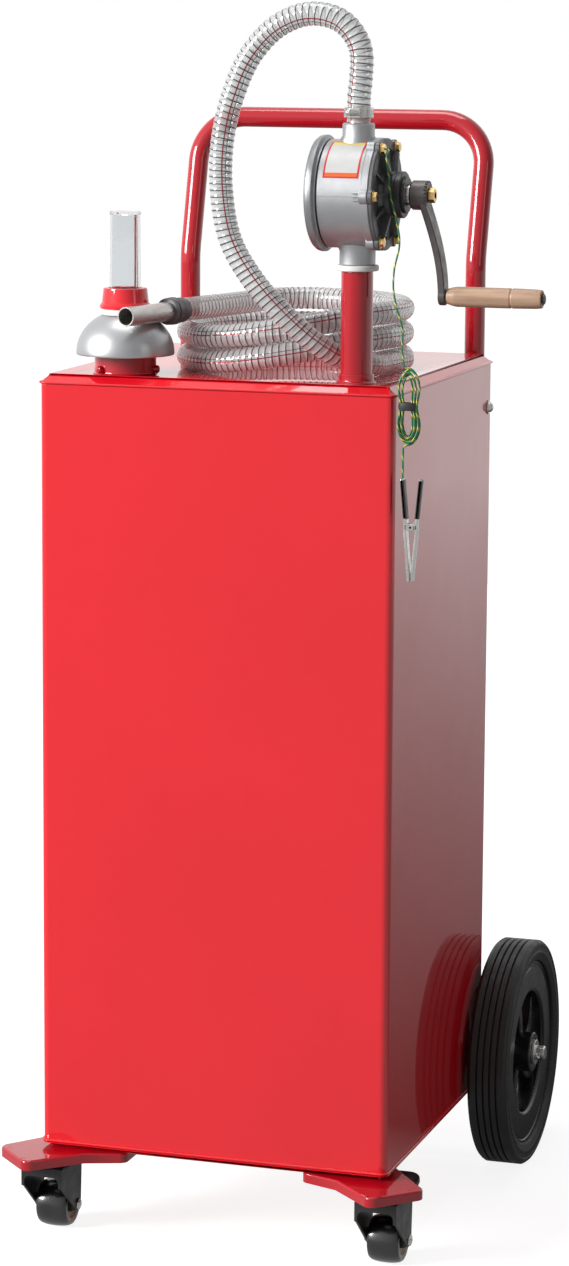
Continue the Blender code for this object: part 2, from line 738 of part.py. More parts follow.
# Filler: neck, cap that turns on it, sight gauge with its sliding float
def make_filler():
    base = DECK + GAP
    rim = base + NECK_HEIGHT
    bore = NECK_RADIUS - NECK_WALL
    neck = turned([(bore, base), (NECK_RADIUS, base), (NECK_RADIUS, rim), (bore, rim)], ROUND_SIDES)
    neck = piece("filler_neck", neck, RED, CADDY, (FILLER_X, FILLER_Y, 0))
    for k in range(NECK_LUGS):
        lug = rod(NECK_LUG_WIDTH / 2, NECK_RADIUS - NECK_WALL / 2, NECK_RADIUS + NECK_LUG_REACH, TINY_SIDES, "X")
        turn = 2 * math.pi * k / NECK_LUGS
        tool(neck, lug, "UNION", (0, 0, base + NECK_LUG_HEIGHT), (0, 0, turn))
    axis = empty("cap_axis", (FILLER_X, FILLER_Y, 0), (0, 0, 0), CADDY)
    seat = rim + GAP
    shoulder = seat + SHOULDER_THICKNESS
    top = seat + DOME_HEIGHT
    spring_line = seat + DOME_LIP
    crown = (DOME_HEIGHT - DOME_LIP) / math.sqrt(1 - DOME_TOP_SHARE * DOME_TOP_SHARE)
    flare = math.acos(DOME_TOP_SHARE)

    def dome(radius, height):
        turn = [flare * k / DOME_STEPS for k in range(DOME_STEPS + 1)]
        return [(radius * math.cos(a), spring_line + height * math.sin(a)) for a in turn]
    outside = dome(DOME_RADIUS, crown)
    inside = dome(DOME_RADIUS - DOME_SHEET, crown - DOME_SHEET)
    ceiling = inside[-1][1]
    plug = bore * math.cos(math.pi / ROUND_SIDES) - GAP
    profile = [(PLUG_BORE, seat - PLUG_DEPTH), (plug, seat - PLUG_DEPTH), (plug, seat)]
    profile += [(NECK_RADIUS + SHOULDER_OVERLAP, seat), (NECK_RADIUS + SHOULDER_OVERLAP, shoulder)]
    profile += [(SLEEVE_RADIUS, shoulder), (SLEEVE_RADIUS, ceiling)]
    profile += inside[::-1] + [(DOME_RADIUS - DOME_SHEET, seat), (DOME_RADIUS, seat)] + outside
    profile += [(PLUG_BORE, top)]
    piece("cap_dome", turned(profile, ROUND_SIDES), SILVER, axis)
    white_low = top + GAP
    white_high = white_low + WHITE_RING_HEIGHT
    hold = SIGHT_RADIUS + GAP
    ring = [(hold, white_low), (WHITE_RING_RADIUS, white_low), (WHITE_RING_RADIUS, white_high), (hold, white_high)]
    piece("gauge_base", turned(ring, ROUND_SIDES), WHITE, axis)
    red_low = white_high + GAP
    collar = [(hold, red_low), (RED_COLLAR_RADIUS, red_low), (RED_COLLAR_RADIUS, red_low + RED_COLLAR_LIP)]
    collar += [(RED_COLLAR_TOP, red_low + RED_COLLAR_HEIGHT), (hold, red_low + RED_COLLAR_HEIGHT)]
    piece("gauge_collar", turned(collar, ROUND_SIDES), RED, axis)
    inner = SIGHT_RADIUS - SIGHT_WALL
    inner_top = SIGHT_TOP_RADIUS - SIGHT_WALL
    ceiling = SIGHT_HIGH - SIGHT_WALL
    sight = [(inner, white_low), (SIGHT_RADIUS, white_low), (SIGHT_TOP_RADIUS, SIGHT_HIGH), (0, SIGHT_HIGH)]
    sight = [(0, ceiling), (inner_top, ceiling)] + sight
    piece("gauge_tube", turned(sight, ROUND_SIDES), CLEAR, axis)
    slide = empty("gauge_axis", (ROD_OFFSET, 0, 0), (0, 0, 0), axis)
    float_high = DECK - FLOAT_DEPTH
    float_low = float_high - FLOAT_HEIGHT
    needle = rod(ROD_RADIUS, float_high - FLOAT_EDGE, ceiling - ROD_HEADROOM, TINY_SIDES)
    needle = piece("gauge_rod", needle, WOOD, slide)
    rounded_float = [(0, float_low), (FLOAT_RADIUS - FLOAT_EDGE, float_low), (FLOAT_RADIUS, float_low + FLOAT_EDGE)]
    rounded_float += [(FLOAT_RADIUS, float_high - FLOAT_EDGE), (FLOAT_RADIUS - FLOAT_EDGE, float_high)]
    rounded_float += [(0, float_high)]
    tool(needle, turned(rounded_float, SMALL_SIDES), "UNION", (-ROD_OFFSET, 0, 0))


# Standpipe with the suction tube through it, and the ring nut under the pump
def make_standpipe():
    place = (PIPE_X, PIPE_Y, 0)
    base = DECK + GAP
    bore = SUCTION_RADIUS + GAP
    collar = base + PIPE_BASE_HEIGHT
    pipe = [(bore, base), (PIPE_BASE_RADIUS, base), (PIPE_BASE_RADIUS, collar), (PIPE_RADIUS, collar)]
    pipe += [(PIPE_RADIUS, PIPE_HIGH), (bore, PIPE_HIGH)]
    piece("standpipe", turned(pipe, ROUND_SIDES), RED, CADDY, place)
    low = PIPE_HIGH + GAP
    high = low + RING_HEIGHT
    edge = RING_RADIUS - RING_CHAMFER
    ring = [(bore, low), (edge, low), (RING_RADIUS, low + RING_CHAMFER), (RING_RADIUS, high - RING_CHAMFER)]
    ring += [(edge, high), (bore, high)]
    piece("ring_nut", turned(ring, ROUND_SIDES), STEEL, CADDY, place)
    foot = TANK_LOW - BOTTOM_DROP + SHEET + SUCTION_CLEAR_OF_FLOOR
    inner = SUCTION_RADIUS - SUCTION_WALL
    suction = [(inner, foot), (SUCTION_RADIUS, foot), (SUCTION_RADIUS, high), (inner, high)]
    piece("suction_tube", turned(suction, ROUND_SIDES), CLEAR, CADDY, place)


# Rotary pump
def around(count, radius, start=0):
    """Angles and places of a bolt circle in the pump's own YZ plane, counted from straight up."""
    for k in range(count):
        turn = start + 2 * math.pi * k / count
        yield k, turn, (-radius * math.sin(turn), radius * math.cos(turn))


def make_pump():
    pump = empty("pump_axis", (PIPE_X, PIPE_Y, PUMP_HEIGHT), (0, 0, math.radians(PUMP_YAW_DEG)), CADDY)
    half_step = math.pi / BOLTS
    flange_left = BODY_RIGHT - FLANGE_WIDTH
    outer = [(0, BODY_LEFT), (BODY_RADIUS, BODY_LEFT), (BODY_RADIUS, flange_left), (FLANGE_RADIUS, flange_left)]
    outer += [(FLANGE_RADIUS, BODY_RIGHT), (0, BODY_RIGHT)]
    body = piece("pump_body", turned(outer, ROUND_SIDES, "X"), CAST, pump)
    for _, _, (y, z) in around(BOLTS, BOLT_CIRCLE, half_step):
        boss = rod(BOSS_RADIUS, flange_left - BOSS_RAISE, BODY_RIGHT - FINE, TINY_SIDES, "X")
        tool(body, boss, "UNION", (0, y, z))
    stub_low = PIPE_HIGH + RING_HEIGHT + 2 * GAP - PUMP_HEIGHT
    stub = rod(STUB_LOW_RADIUS, stub_low, -BORE_RADIUS, ROUND_SIDES)
    tool(body, stub, "UNION")
    tool(body, rod(STUB_HIGH_RADIUS, BORE_RADIUS, STUB_HIGH_REACH, ROUND_SIDES), "UNION")
    cavity = rod(BORE_RADIUS, BODY_LEFT - OVERRUN, BODY_RIGHT + OVERRUN, ROUND_SIDES, "X")
    tool(body, cavity, "DIFFERENCE", (0, 0, -BORE_DROP))
    tool(body, rod(PORT_RADIUS, stub_low - OVERRUN, 0, SMALL_SIDES), "DIFFERENCE")
    tool(body, rod(PORT_RADIUS, 0, STUB_HIGH_REACH + OVERRUN, SMALL_SIDES), "DIFFERENCE")
    cover_right = BODY_RIGHT + GAP + COVER_WIDTH
    shank_left = cover_right + BOSS_RAISE + GAP - BOLT_SHANK_LENGTH
    hole = BOLT_SHANK_RADIUS + GAP
    for _, _, (y, z) in around(BOLTS, BOLT_CIRCLE, half_step):
        blind = rod(hole, shank_left - OVERRUN, BODY_RIGHT + OVERRUN, HOLE_SIDES, "X")
        tool(body, blind, "DIFFERENCE", (0, y, z))
    make_covers(pump, cover_right, half_step, shank_left, hole)
    make_rotor(pump, cover_right)


def make_covers(pump, cover_right, half_step, shank_left, hole):
    rear_right = BODY_LEFT - GAP
    rear_left = rear_right - REAR_WIDTH
    spigot = BORE_RADIUS - GAP
    rear = [(0, rear_left), (REAR_RADIUS - REAR_ROUND, rear_left), (REAR_RADIUS, rear_left + REAR_ROUND)]
    rear += [(REAR_RADIUS, rear_right - REAR_SPIGOT), (REAR_RADIUS - REAR_SPIGOT, rear_right), (0, rear_right)]
    back = piece("rear_cover", turned(rear, ROUND_SIDES, "X"), CAST, pump)
    plug = rod(spigot, rear_right - REAR_SPIGOT, rear_right + REAR_SPIGOT, ROUND_SIDES, "X")
    tool(back, plug, "UNION", (0, 0, -BORE_DROP))
    left = BODY_RIGHT + GAP
    hub_right = left + COVER_HUB_WIDTH
    disc = [(0, left), (FLANGE_RADIUS - GAP, left), (FLANGE_RADIUS - GAP, cover_right)]
    disc += [(COVER_HUB_RADIUS, cover_right), (COVER_HUB_RADIUS, hub_right), (0, hub_right)]
    cover = piece("front_cover", turned(disc, ROUND_SIDES, "X"), DARK, pump)
    rib_high = hub_right - GAP
    rib_low = cover_right + (hub_right - cover_right) * RIB_OUTER_SHARE
    for _, turn, (y, z) in around(BOLTS, BOLT_CIRCLE, half_step):
        boss = rod(BOSS_RADIUS, left + FINE, cover_right + BOSS_RAISE, TINY_SIDES, "X")
        tool(cover, boss, "UNION", (0, y, z))
        reach = BOLT_CIRCLE - BOLT_HEAD_RADIUS - GAP
        inner = COVER_HUB_RADIUS - BOSS_RADIUS
        middle = cover_right - COVER_WIDTH / 2
        shoulder = COVER_HUB_RADIUS + RIB_THICKNESS / 2
        side = [(middle, inner), (rib_high, inner), (rib_high, shoulder), (rib_low, reach), (middle, reach)]
        rib = prism(side, -RIB_THICKNESS / 2, RIB_THICKNESS / 2, "Y")
        tool(cover, rib, "UNION", (0, 0, 0), (turn, 0, 0))
    shaft_bore = turning_bore(SHAFT_RADIUS, ROUND_SIDES)
    tool(cover, rod(shaft_bore, left - OVERRUN, hub_right + OVERRUN, ROUND_SIDES, "X"), "DIFFERENCE")
    for k, _, (y, z) in around(BOLTS, BOLT_CIRCLE, half_step):
        through = rod(hole, left - OVERRUN, cover_right + OVERRUN, HOLE_SIDES, "X")
        tool(cover, through, "DIFFERENCE", (0, y, z))
        seat = cover_right + BOSS_RAISE + GAP
        head = rod(BOLT_HEAD_RADIUS, seat, seat + BOLT_HEAD_HEIGHT, HEX_SIDES, "X")
        bolt = piece(f"cover_bolt_{k + 1}", head, BRASS, pump, (0, y, z))
        shank = rod(BOLT_SHANK_RADIUS, shank_left, seat + BOLT_HEAD_HEIGHT / 2, HOLE_SIDES, "X")
        tool(bolt, shank, "UNION")
    low = hub_right + GAP
    step = low + GLAND_WIDTH
    end = step + GLAND_STEP_WIDTH
    hold = turning_bore(SHAFT_NECK_RADIUS, ROUND_SIDES)
    gland = [(hold, low), (GLAND_RADIUS, low), (GLAND_RADIUS, step), (GLAND_STEP_RADIUS, step)]
    gland += [(GLAND_STEP_RADIUS, end), (hold, end)]
    piece("gland", turned(gland, ROUND_SIDES, "X"), BLACK, pump)


def make_rotor(pump, cover_right):
    crank = empty("crank_axis", (0, 0, 0), (0, 0, 0), pump)
    left = BODY_LEFT + REAR_SPIGOT + GAP
    right = BODY_RIGHT - GAP
    hub_right = cover_right + COVER_HUB_WIDTH - COVER_WIDTH
    neck = hub_right + 2 * GAP
    hub_left = CRANK_HUB_LEFT - GAP
    shape = [(0, left), (ROTOR_RADIUS, left), (ROTOR_RADIUS, right), (SHAFT_RADIUS, right), (SHAFT_RADIUS, neck)]
    shape += [(SHAFT_NECK_RADIUS, neck), (SHAFT_NECK_RADIUS, hub_left), (0, hub_left)]
    rotor = piece("pump_rotor", turned(shape, ROUND_SIDES, "X"), STEEL, crank)
    for k in range(VANES):
        turn = 2 * math.pi * (k + 1 / 2) / VANES
        half = VANE_THICKNESS / 2
        low = (left + GAP, -half, ROTOR_RADIUS - VANE_THICKNESS)
        high = (right - GAP, half, ROTOR_RADIUS + VANE_REACH)
        tool(rotor, block(low, high), "UNION", (0, 0, 0), (turn, 0, 0))
    make_crank(crank)


# Crank: a bowed arm from the shaft to the wooden grip
def make_crank(crank):
    right = CRANK_HUB_LEFT + CRANK_HUB_WIDTH
    edge = GAP * 3
    hub = [(0, CRANK_HUB_LEFT), (CRANK_HUB_RADIUS - edge, CRANK_HUB_LEFT), (CRANK_HUB_RADIUS, CRANK_HUB_LEFT + edge)]
    hub += [(CRANK_HUB_RADIUS, right), (0, right)]
    arm = piece("crank_arm", turned(hub, SMALL_SIDES, "X"), DARK, crank)
    rings = []
    for k in range(CRANK_STATIONS):
        part = k / (CRANK_STATIONS - 1)
        down = -CRANK_THROW * part
        bow = math.sin(part * math.pi / 2)
        middle = CRANK_START + (CRANK_END - CRANK_START) * bow
        half = (CRANK_HUB_SIDE + (CRANK_EYE_SIDE - CRANK_HUB_SIDE) * part) / 2
        thick = CRANK_THICKNESS / 2
        rings.append([
            (middle - thick, -half, down), (middle + thick, -half, down),
            (middle + thick, half, down), (middle - thick, half, down),
        ])
    tool(arm, lofted(rings), "UNION")
    eye_left = CRANK_END - CRANK_THICKNESS / 2
    eye_right = CRANK_END + CRANK_THICKNESS / 2
    tool(arm, rod(CRANK_EYE_RADIUS, eye_left, eye_right, SMALL_SIDES, "X"), "UNION", (0, 0, -CRANK_THROW))
    nut_left = max(right, CRANK_START + CRANK_THICKNESS / 2) + GAP
    piece("crank_nut", rod(NUT_RADIUS, nut_left, nut_left + NUT_HEIGHT, HEX_SIDES, "X"), BRASS, crank)
    grip_axis = empty("grip_axis", (0, 0, -CRANK_THROW), (0, 0, 0), crank)
    pin_left = eye_right + GAP
    grip_left = pin_left + GAP
    grip_right = grip_left + GRIP_LENGTH
    head = grip_right + GAP
    pin = [(0, pin_left), (PIN_RADIUS, pin_left), (PIN_RADIUS, head), (PIN_HEAD_RADIUS, head)]
    pin += [(PIN_HEAD_RADIUS, head + PIN_HEAD_WIDTH), (0, head + PIN_HEAD_WIDTH)]
    piece("grip_pin", turned(pin, TINY_SIDES, "X"), STEEL, grip_axis)
    groove = grip_left + GRIP_LENGTH * GRIP_GROOVE_SHARE
    width = 2 * GRIP_GROOVE
    bore = turning_bore(PIN_RADIUS, SMALL_SIDES)
    taper = GRIP_RADIUS
    grip = [(bore, grip_left), (GRIP_END_RADIUS, grip_left), (GRIP_RADIUS, grip_left + taper)]
    grip += [(GRIP_RADIUS, groove - width), (GRIP_RADIUS - GRIP_GROOVE, groove), (GRIP_RADIUS, groove + width)]
    grip += [(GRIP_RADIUS, grip_right - taper / 2), (GRIP_END_RADIUS, grip_right), (bore, grip_right)]
    piece("wooden_grip", turned(grip, SMALL_SIDES, "X"), WOOD, grip_axis)


# Handle, its saddles and the two bolts high on the sides
def make_handle():
    y = TANK_BACK + HANDLE_BEHIND
    lean = (HANDLE_TOP - HANDLE_KINK) * math.tan(math.radians(HANDLE_LEAN_DEG))
    corners = [(-HANDLE_X, y, HANDLE_LOW), (-HANDLE_X, y, HANDLE_KINK), (-HANDLE_X, y + lean, HANDLE_TOP)]
    corners += [(-x, y, z) for x, y, z in corners[::-1]]
    radii = [HANDLE_KINK_RADIUS, HANDLE_CORNER, HANDLE_CORNER, HANDLE_KINK_RADIUS]
    curve_tube("handle", bent_path(corners, radii, BEND_STEPS), HANDLE_RADIUS, TUBE_RESOLUTION, RED)
    plate_front = TANK_BACK + GAP
    for side, sign in (("left", -1), ("right", 1)):
        x = sign * HANDLE_X
        half = SADDLE_WIDTH / 2
        low = (x - half, plate_front, SADDLE_LOW)
        high = (x + half, plate_front + SADDLE_PLATE, SADDLE_LOW + SADDLE_HEIGHT)
        saddle = piece(f"handle_saddle_{side}", block(low, high), RED)
        outer = HANDLE_RADIUS + GAP + SADDLE_RING
        for foot in (SADDLE_LOW, SADDLE_LOW + SADDLE_HEIGHT - SADDLE_BAND):
            ends = (foot + GAP, foot + SADDLE_BAND - GAP)
            tool(saddle, rod(outer, *ends, SMALL_SIDES), "UNION", (x, y, 0))
        ends = (SADDLE_LOW - OVERRUN, SADDLE_LOW + SADDLE_HEIGHT + OVERRUN)
        tool(saddle, rod(HANDLE_RADIUS + 2 * GAP, *ends, SMALL_SIDES), "DIFFERENCE", (x, y, 0))
        face = TANK_HALF + GAP
        washer = face + WASHER_THICKNESS
        dome = [(0, face), (WASHER_RADIUS, face), (WASHER_RADIUS, washer), (SIDE_BOLT_RADIUS, washer)]
        for k in range(1, BOLT_DOME_STEPS):
            turn = math.pi / 2 * k / BOLT_DOME_STEPS
            dome.append((SIDE_BOLT_RADIUS * math.cos(turn), washer + SIDE_BOLT_DOME * math.sin(turn)))
        dome.append((0, washer + SIDE_BOLT_DOME))
        place = (0, SIDE_BOLT_Y, SIDE_BOLT_Z)
        turned_out = (0, 0, 0) if sign > 0 else (0, 0, math.pi)
        piece(f"side_bolt_{side}", turned(dome, TINY_SIDES, "X"), STEEL, CADDY, place, turned_out)


# Rear wheels on one axle behind the tank
def make_rear_wheels():
    inner_face = TANK_HALF + WHEEL_GAP
    centre = inner_face + TYRE_WIDTH / 2
    stop_right = centre - WHEEL_HUB_WIDTH / 2 - GAP
    washer_left = centre + WHEEL_HUB_WIDTH / 2 + GAP
    washer_right = washer_left + STOP_WIDTH
    axle_end = washer_right + AXLE_REACH
    half = [(0, 0), (AXLE_RADIUS, 0), (AXLE_RADIUS, stop_right - STOP_WIDTH), (STOP_RADIUS, stop_right - STOP_WIDTH)]
    half += [(STOP_RADIUS, stop_right), (AXLE_RADIUS, stop_right), (AXLE_RADIUS, washer_left)]
    half += [(STOP_RADIUS, washer_left), (STOP_RADIUS, washer_right), (AXLE_RADIUS, washer_right)]
    half += [(AXLE_RADIUS, axle_end - COTTER_RADIUS), (AXLE_RADIUS - COTTER_RADIUS, axle_end), (0, axle_end)]
    whole = [(radius, -x) for radius, x in half[:0:-1]] + half[2:]
    place = (0, WHEEL_Y, WHEEL_RADIUS)
    axle = piece("axle", turned(whole, TINY_SIDES, "X"), STEEL, CADDY, place)
    cotter_x = (washer_right + axle_end) / 2
    for sign in (-1, 1):
        cotter = rod(COTTER_RADIUS, -COTTER_LENGTH / 2, COTTER_LENGTH / 2, TINY_SIDES, "Y")
        tool(axle, cotter, "UNION", (sign * cotter_x, 0, 0))
    for side, sign in (("left", -1), ("right", 1)):
        facing = math.pi if sign < 0 else 0
        hub = empty(f"wheel_axis_{side}", (sign * centre, WHEEL_Y, WHEEL_RADIUS), (0, 0, facing), CADDY)
        make_tyre(f"tyre_{side}", hub)
        make_rim(f"rim_{side}", hub)
        make_axle_bracket(side, sign)


def make_tyre(name, hub):
    half = TYRE_WIDTH / 2
    seat = TYRE_SEAT + GAP
    rim_half = RIM_WIDTH / 2
    shoulder = WHEEL_RADIUS - TYRE_SHOULDER
    profile = [(seat, -rim_half), ((seat + shoulder) / 2, -half), (shoulder, -half)]
    tread = half - TYRE_SHOULDER
    profile.append((WHEEL_RADIUS, -tread))
    for k in range(TREAD_GROOVES):
        x = -tread + 2 * tread * (k + 1) / (TREAD_GROOVES + 1)
        profile.append((WHEEL_RADIUS, x - TREAD_GROOVE_WIDTH / 2))
        profile.append((WHEEL_RADIUS - TREAD_GROOVE_DEPTH, x))
        profile.append((WHEEL_RADIUS, x + TREAD_GROOVE_WIDTH / 2))
    profile += [(WHEEL_RADIUS, tread), (shoulder, half), ((seat + shoulder) / 2, half), (seat, rim_half)]
    piece(name, turned(profile, TYRE_SIDES, "X"), RUBBER, hub)


def make_rim(name, hub):
    half = RIM_WIDTH / 2
    band = [(RIM_OPENING, -half + RIM_EDGE), (RIM_OPENING + RIM_EDGE, -half), (TYRE_SEAT, -half), (TYRE_SEAT, half)]
    band += [(RIM_OPENING + RIM_EDGE, half), (RIM_OPENING, half - RIM_EDGE)]
    rim = piece(name, turned(band, TYRE_SIDES, "X"), BLACK, hub)
    hub_half = WHEEL_HUB_WIDTH / 2
    tool(rim, rod(WHEEL_HUB_RADIUS, -hub_half, hub_half, SMALL_SIDES, "X"), "UNION")
    start = WHEEL_HUB_RADIUS - RIM_EDGE
    end = RIM_OPENING + RIM_EDGE
    for k in range(SPOKES):
        rings = []
        for station in range(SPOKE_STATIONS):
            part = station / (SPOKE_STATIONS - 1)
            radius = start + (end - start) * part
            turn = math.radians(SPOKE_SWEEP_DEG) * part * part + 2 * math.pi * k / SPOKES
            along = Vector((0, -math.sin(turn), math.cos(turn)))
            across = Vector((0, math.cos(turn), math.sin(turn)))
            thick = SPOKE_THICKNESS / 2 * (1 + part * part)
            wide = SPOKE_WIDTH / 2
            middle = along * radius
            rings.append([
                tuple(middle - across * thick + Vector((-wide, 0, 0))),
                tuple(middle - across * thick + Vector((wide, 0, 0))),
                tuple(middle + across * thick + Vector((wide, 0, 0))),
                tuple(middle + across * thick + Vector((-wide, 0, 0))),
            ])
        tool(rim, lofted(rings), "UNION")
    bore = turning_bore(AXLE_RADIUS, SMALL_SIDES)
    bore = rod(bore, -hub_half - OVERRUN, hub_half + OVERRUN, SMALL_SIDES, "X")
    tool(rim, bore, "DIFFERENCE")


def make_axle_bracket(side, sign):
    """A welded cheek from the rear wall to the axle, with a foot against the wall."""
    wall = TANK_BACK + GAP
    low = WHEEL_RADIUS - AXLE_EYE_RADIUS
    high = low + AXLE_BRACKET_HEIGHT
    eye = WHEEL_Y + AXLE_EYE_RADIUS
    shelf = WHEEL_RADIUS + AXLE_EYE_RADIUS
    cheek = [(wall, low), (eye, low), (eye, shelf), (wall, high)]
    x = sign * AXLE_BRACKET_X
    plate = prism(cheek, x - AXLE_BRACKET_PLATE / 2, x + AXLE_BRACKET_PLATE / 2, "X")
    bracket = piece(f"axle_bracket_{side}", plate, RED)
    foot_half = AXLE_BRACKET_FOOT / 2
    foot = block((x - foot_half, wall, low), (x + foot_half, wall + AXLE_BRACKET_PLATE, high))
    tool(bracket, foot, "UNION")
    reach = AXLE_BRACKET_PLATE + OVERRUN
    hole = rod(turning_bore(AXLE_RADIUS, SMALL_SIDES), x - reach, x + reach, SMALL_SIDES, "X")
    tool(bracket, hole, "DIFFERENCE", (0, WHEEL_Y, WHEEL_RADIUS))


# Corner brackets: pressed trays under the front corners, with a skirt turned down all round
def make_corner_bracket(side, sign):
    points = [
        (BRACKET_FRONT_X, BRACKET_FRONT_Y), (BRACKET_OUTER_X, BRACKET_OUTER_Y), (BRACKET_INNER_X, BRACKET_INNER_Y),
        (BRACKET_WING_X, BRACKET_INNER_Y), (BRACKET_WING_X, BRACKET_WING_Y), (BRACKET_KNEE_X, BRACKET_KNEE_Y),
    ]
    radii = [BRACKET_ROUND] * 5 + [0]
    outline = [(sign * x, y) for x, y in rounded(points, radii, CORNER_STEPS)]
    top = TANK_LOW - BOTTOM_DROP - GAP
    under = top - BRACKET_SHEET
    low = under - BRACKET_SKIRT
    middle = Vector((sign * SWIVEL_X, SWIVEL_Y))

    def inset(line, by):
        """Moves each corner of the outline inward by the sheet's thickness."""
        moved = []
        for k, point in enumerate(line):
            here = Vector(point)
            ahead = (Vector(line[(k + 1) % len(line)]) - here).normalized()
            behind = (here - Vector(line[k - 1])).normalized()
            along = (ahead + behind).normalized()
            normal = Vector((-along.y, along.x)) * sign
            spread = math.sqrt(max((1 + ahead.dot(behind)) / 2, FINE))
            moved.append(tuple(here + normal * (by / spread)))
        return moved
    inner = inset(outline, BRACKET_SHEET)
    rings = [at_height(inner, under), at_height(inner, low), at_height(outline, low), at_height(outline, top)]
    piece(f"corner_bracket_{side}", lofted(rings), RED)
    return middle, under


# Casters: plate and race, fork with its axle bolt, wheel, brake pedal
def make_caster(side, sign):
    middle, under = make_corner_bracket(side, sign)
    plate_high = under - GAP
    plate_low = plate_high - TOP_PLATE_SHEET
    race_low = plate_low - RACE_HEIGHT
    half = TOP_PLATE_SIDE / 2
    plate = block((-half, -half, plate_low), (half, half, plate_high))
    place = (middle.x, middle.y, 0)
    turn = math.pi / 4
    plate = piece(f"caster_plate_{side}", plate, STEEL, CADDY, place, (0, 0, turn))
    pin_low = race_low - GAP - CROWN_SHEET - GAP
    race = [(0, pin_low - KINGPIN_HEAD_HEIGHT), (KINGPIN_HEAD_RADIUS, pin_low - KINGPIN_HEAD_HEIGHT)]
    race += [(KINGPIN_HEAD_RADIUS, pin_low), (KINGPIN_RADIUS, pin_low), (KINGPIN_RADIUS, race_low)]
    race += [(RACE_RADIUS, race_low), (RACE_RADIUS, plate_low + TOP_PLATE_SHEET / 2)]
    race += [(0, plate_low + TOP_PLATE_SHEET / 2)]
    tool(plate, turned(race, SMALL_SIDES), "UNION")
    swivel = empty(f"swivel_axis_{side}", place, (0, 0, 0), CADDY)
    crown_high = race_low - GAP
    crown_low = crown_high - CROWN_SHEET
    eye = turning_bore(KINGPIN_RADIUS, SMALL_SIDES)
    crown = [(eye, crown_low), (CROWN_RADIUS, crown_low), (CROWN_RADIUS, crown_high), (eye, crown_high)]
    fork = piece(f"caster_fork_{side}", turned(crown, SMALL_SIDES), BLACK, swivel)
    leg_in = CASTER_HUB_WIDTH / 2 + GAP
    leg_out = leg_in + LEG_SHEET
    trail = CASTER_TRAIL
    axle = CASTER_WHEEL_RADIUS
    points = [(-LEG_FRONT, crown_low + CROWN_SHEET / 2), (-LEG_FRONT, LEG_SHOULDER_Z), (trail - LEG_EYE_RADIUS, axle)]
    points += [(trail, axle - LEG_EYE_RADIUS), (trail + LEG_EYE_RADIUS, axle), (EAR_Y + EAR_RADIUS, EAR_Z - EAR_RADIUS)]
    points += [(EAR_Y + EAR_RADIUS, EAR_Z + EAR_RADIUS / 2), (LEG_FRONT, crown_low + CROWN_SHEET / 2)]
    radii = [0, LEG_EYE_RADIUS, 0, LEG_EYE_RADIUS / 2, 0, 0, 0, 0]
    outline = rounded(points, radii, CORNER_STEPS - 1)
    pin_hole = turning_bore(PEDAL_PIN_RADIUS, TINY_SIDES)
    for cheek in (-1, 1):
        ends = sorted((cheek * leg_in, cheek * leg_out))
        tool(fork, prism(outline, *ends, "X"), "UNION")
    through = leg_out + OVERRUN
    tool(fork, rod(pin_hole, -through, through, TINY_SIDES, "X"), "DIFFERENCE", (0, EAR_Y, EAR_Z))
    nut = leg_out + CASTER_NUT_WIDTH
    bolt = [(0, -nut), (CASTER_NUT_RADIUS, -nut), (CASTER_NUT_RADIUS, -leg_out + GAP), (CASTER_BOLT_RADIUS, -leg_out + GAP)]
    bolt += [(radius, -x) for radius, x in bolt[::-1]]
    tool(fork, turned(bolt, TINY_SIDES, "X"), "UNION", (0, trail, axle))
    make_caster_wheel(side, swivel)
    make_pedal(side, swivel, leg_in, leg_out)


def make_caster_wheel(side, swivel):
    place = (0, CASTER_TRAIL, CASTER_WHEEL_RADIUS)
    spin = empty(f"caster_wheel_axis_{side}", place, (0, 0, 0), swivel)
    half = CASTER_WHEEL_WIDTH / 2
    hub = CASTER_HUB_WIDTH / 2
    bore = turning_bore(CASTER_BOLT_RADIUS, SMALL_SIDES)
    boss = 2 * bore
    dish = half - 2 * LEG_SHEET
    shoulder = CASTER_WHEEL_RADIUS - TYRE_SHOULDER / 2
    right = [(CASTER_WHEEL_RADIUS, half / 3), (shoulder + TYRE_SHOULDER / 4, 2 * half / 3), (shoulder, half)]
    right += [(CASTER_RING_RADIUS, half), (CASTER_RING_RADIUS - TYRE_SHOULDER / 2, dish), (boss, dish), (boss, hub)]
    right += [(bore, hub)]
    profile = [(radius, -x) for radius, x in right[::-1]] + right
    piece(f"caster_wheel_{side}", turned(profile, SMALL_SIDES, "X"), RUBBER, spin)


def make_pedal(side, swivel, leg_in, leg_out):
    hinge = empty(f"pedal_axis_{side}", (0, EAR_Y, EAR_Z), (0, 0, 0), swivel)
    half = leg_in - GAP
    thick = PEDAL_THICKNESS
    tip = PEDAL_TIP_Z - EAR_Z
    points = [(-thick / 2, -thick / 2), (thick, -thick), (PEDAL_LENGTH, tip - thick), (PEDAL_LENGTH + thick, tip)]
    points += [(PEDAL_LENGTH, tip + thick / 4), (thick, thick / 3), (-thick / 2, thick / 2)]
    pedal = piece(f"brake_pedal_{side}", prism(points, -half, half, "X"), BLACK, hinge)
    tool(pedal, rod(PEDAL_PIN_RADIUS, -leg_out, leg_out, TINY_SIDES, "X"), "UNION")


# Hose: riser from the pump, coil on the deck, lead to the nozzle
def coil_point(degrees):
    """A point of the coil: flat, and rising one layer in each pass between the climb's angles."""
    lap = math.floor(degrees / 360)
    within = degrees - 360 * lap
    part = min(max((within - CLIMB_START_DEG) / (CLIMB_END_DEG - CLIMB_START_DEG), 0), 1)
    rise = lap + part * part * (3 - 2 * part)
    turn = math.radians(degrees)
    height = DECK + GAP + HOSE_RADIUS + COIL_PITCH * max(rise, 0)
    return Vector((COIL_X + COIL_RADIUS * math.cos(turn), COIL_Y + COIL_RADIUS * math.sin(turn), height))


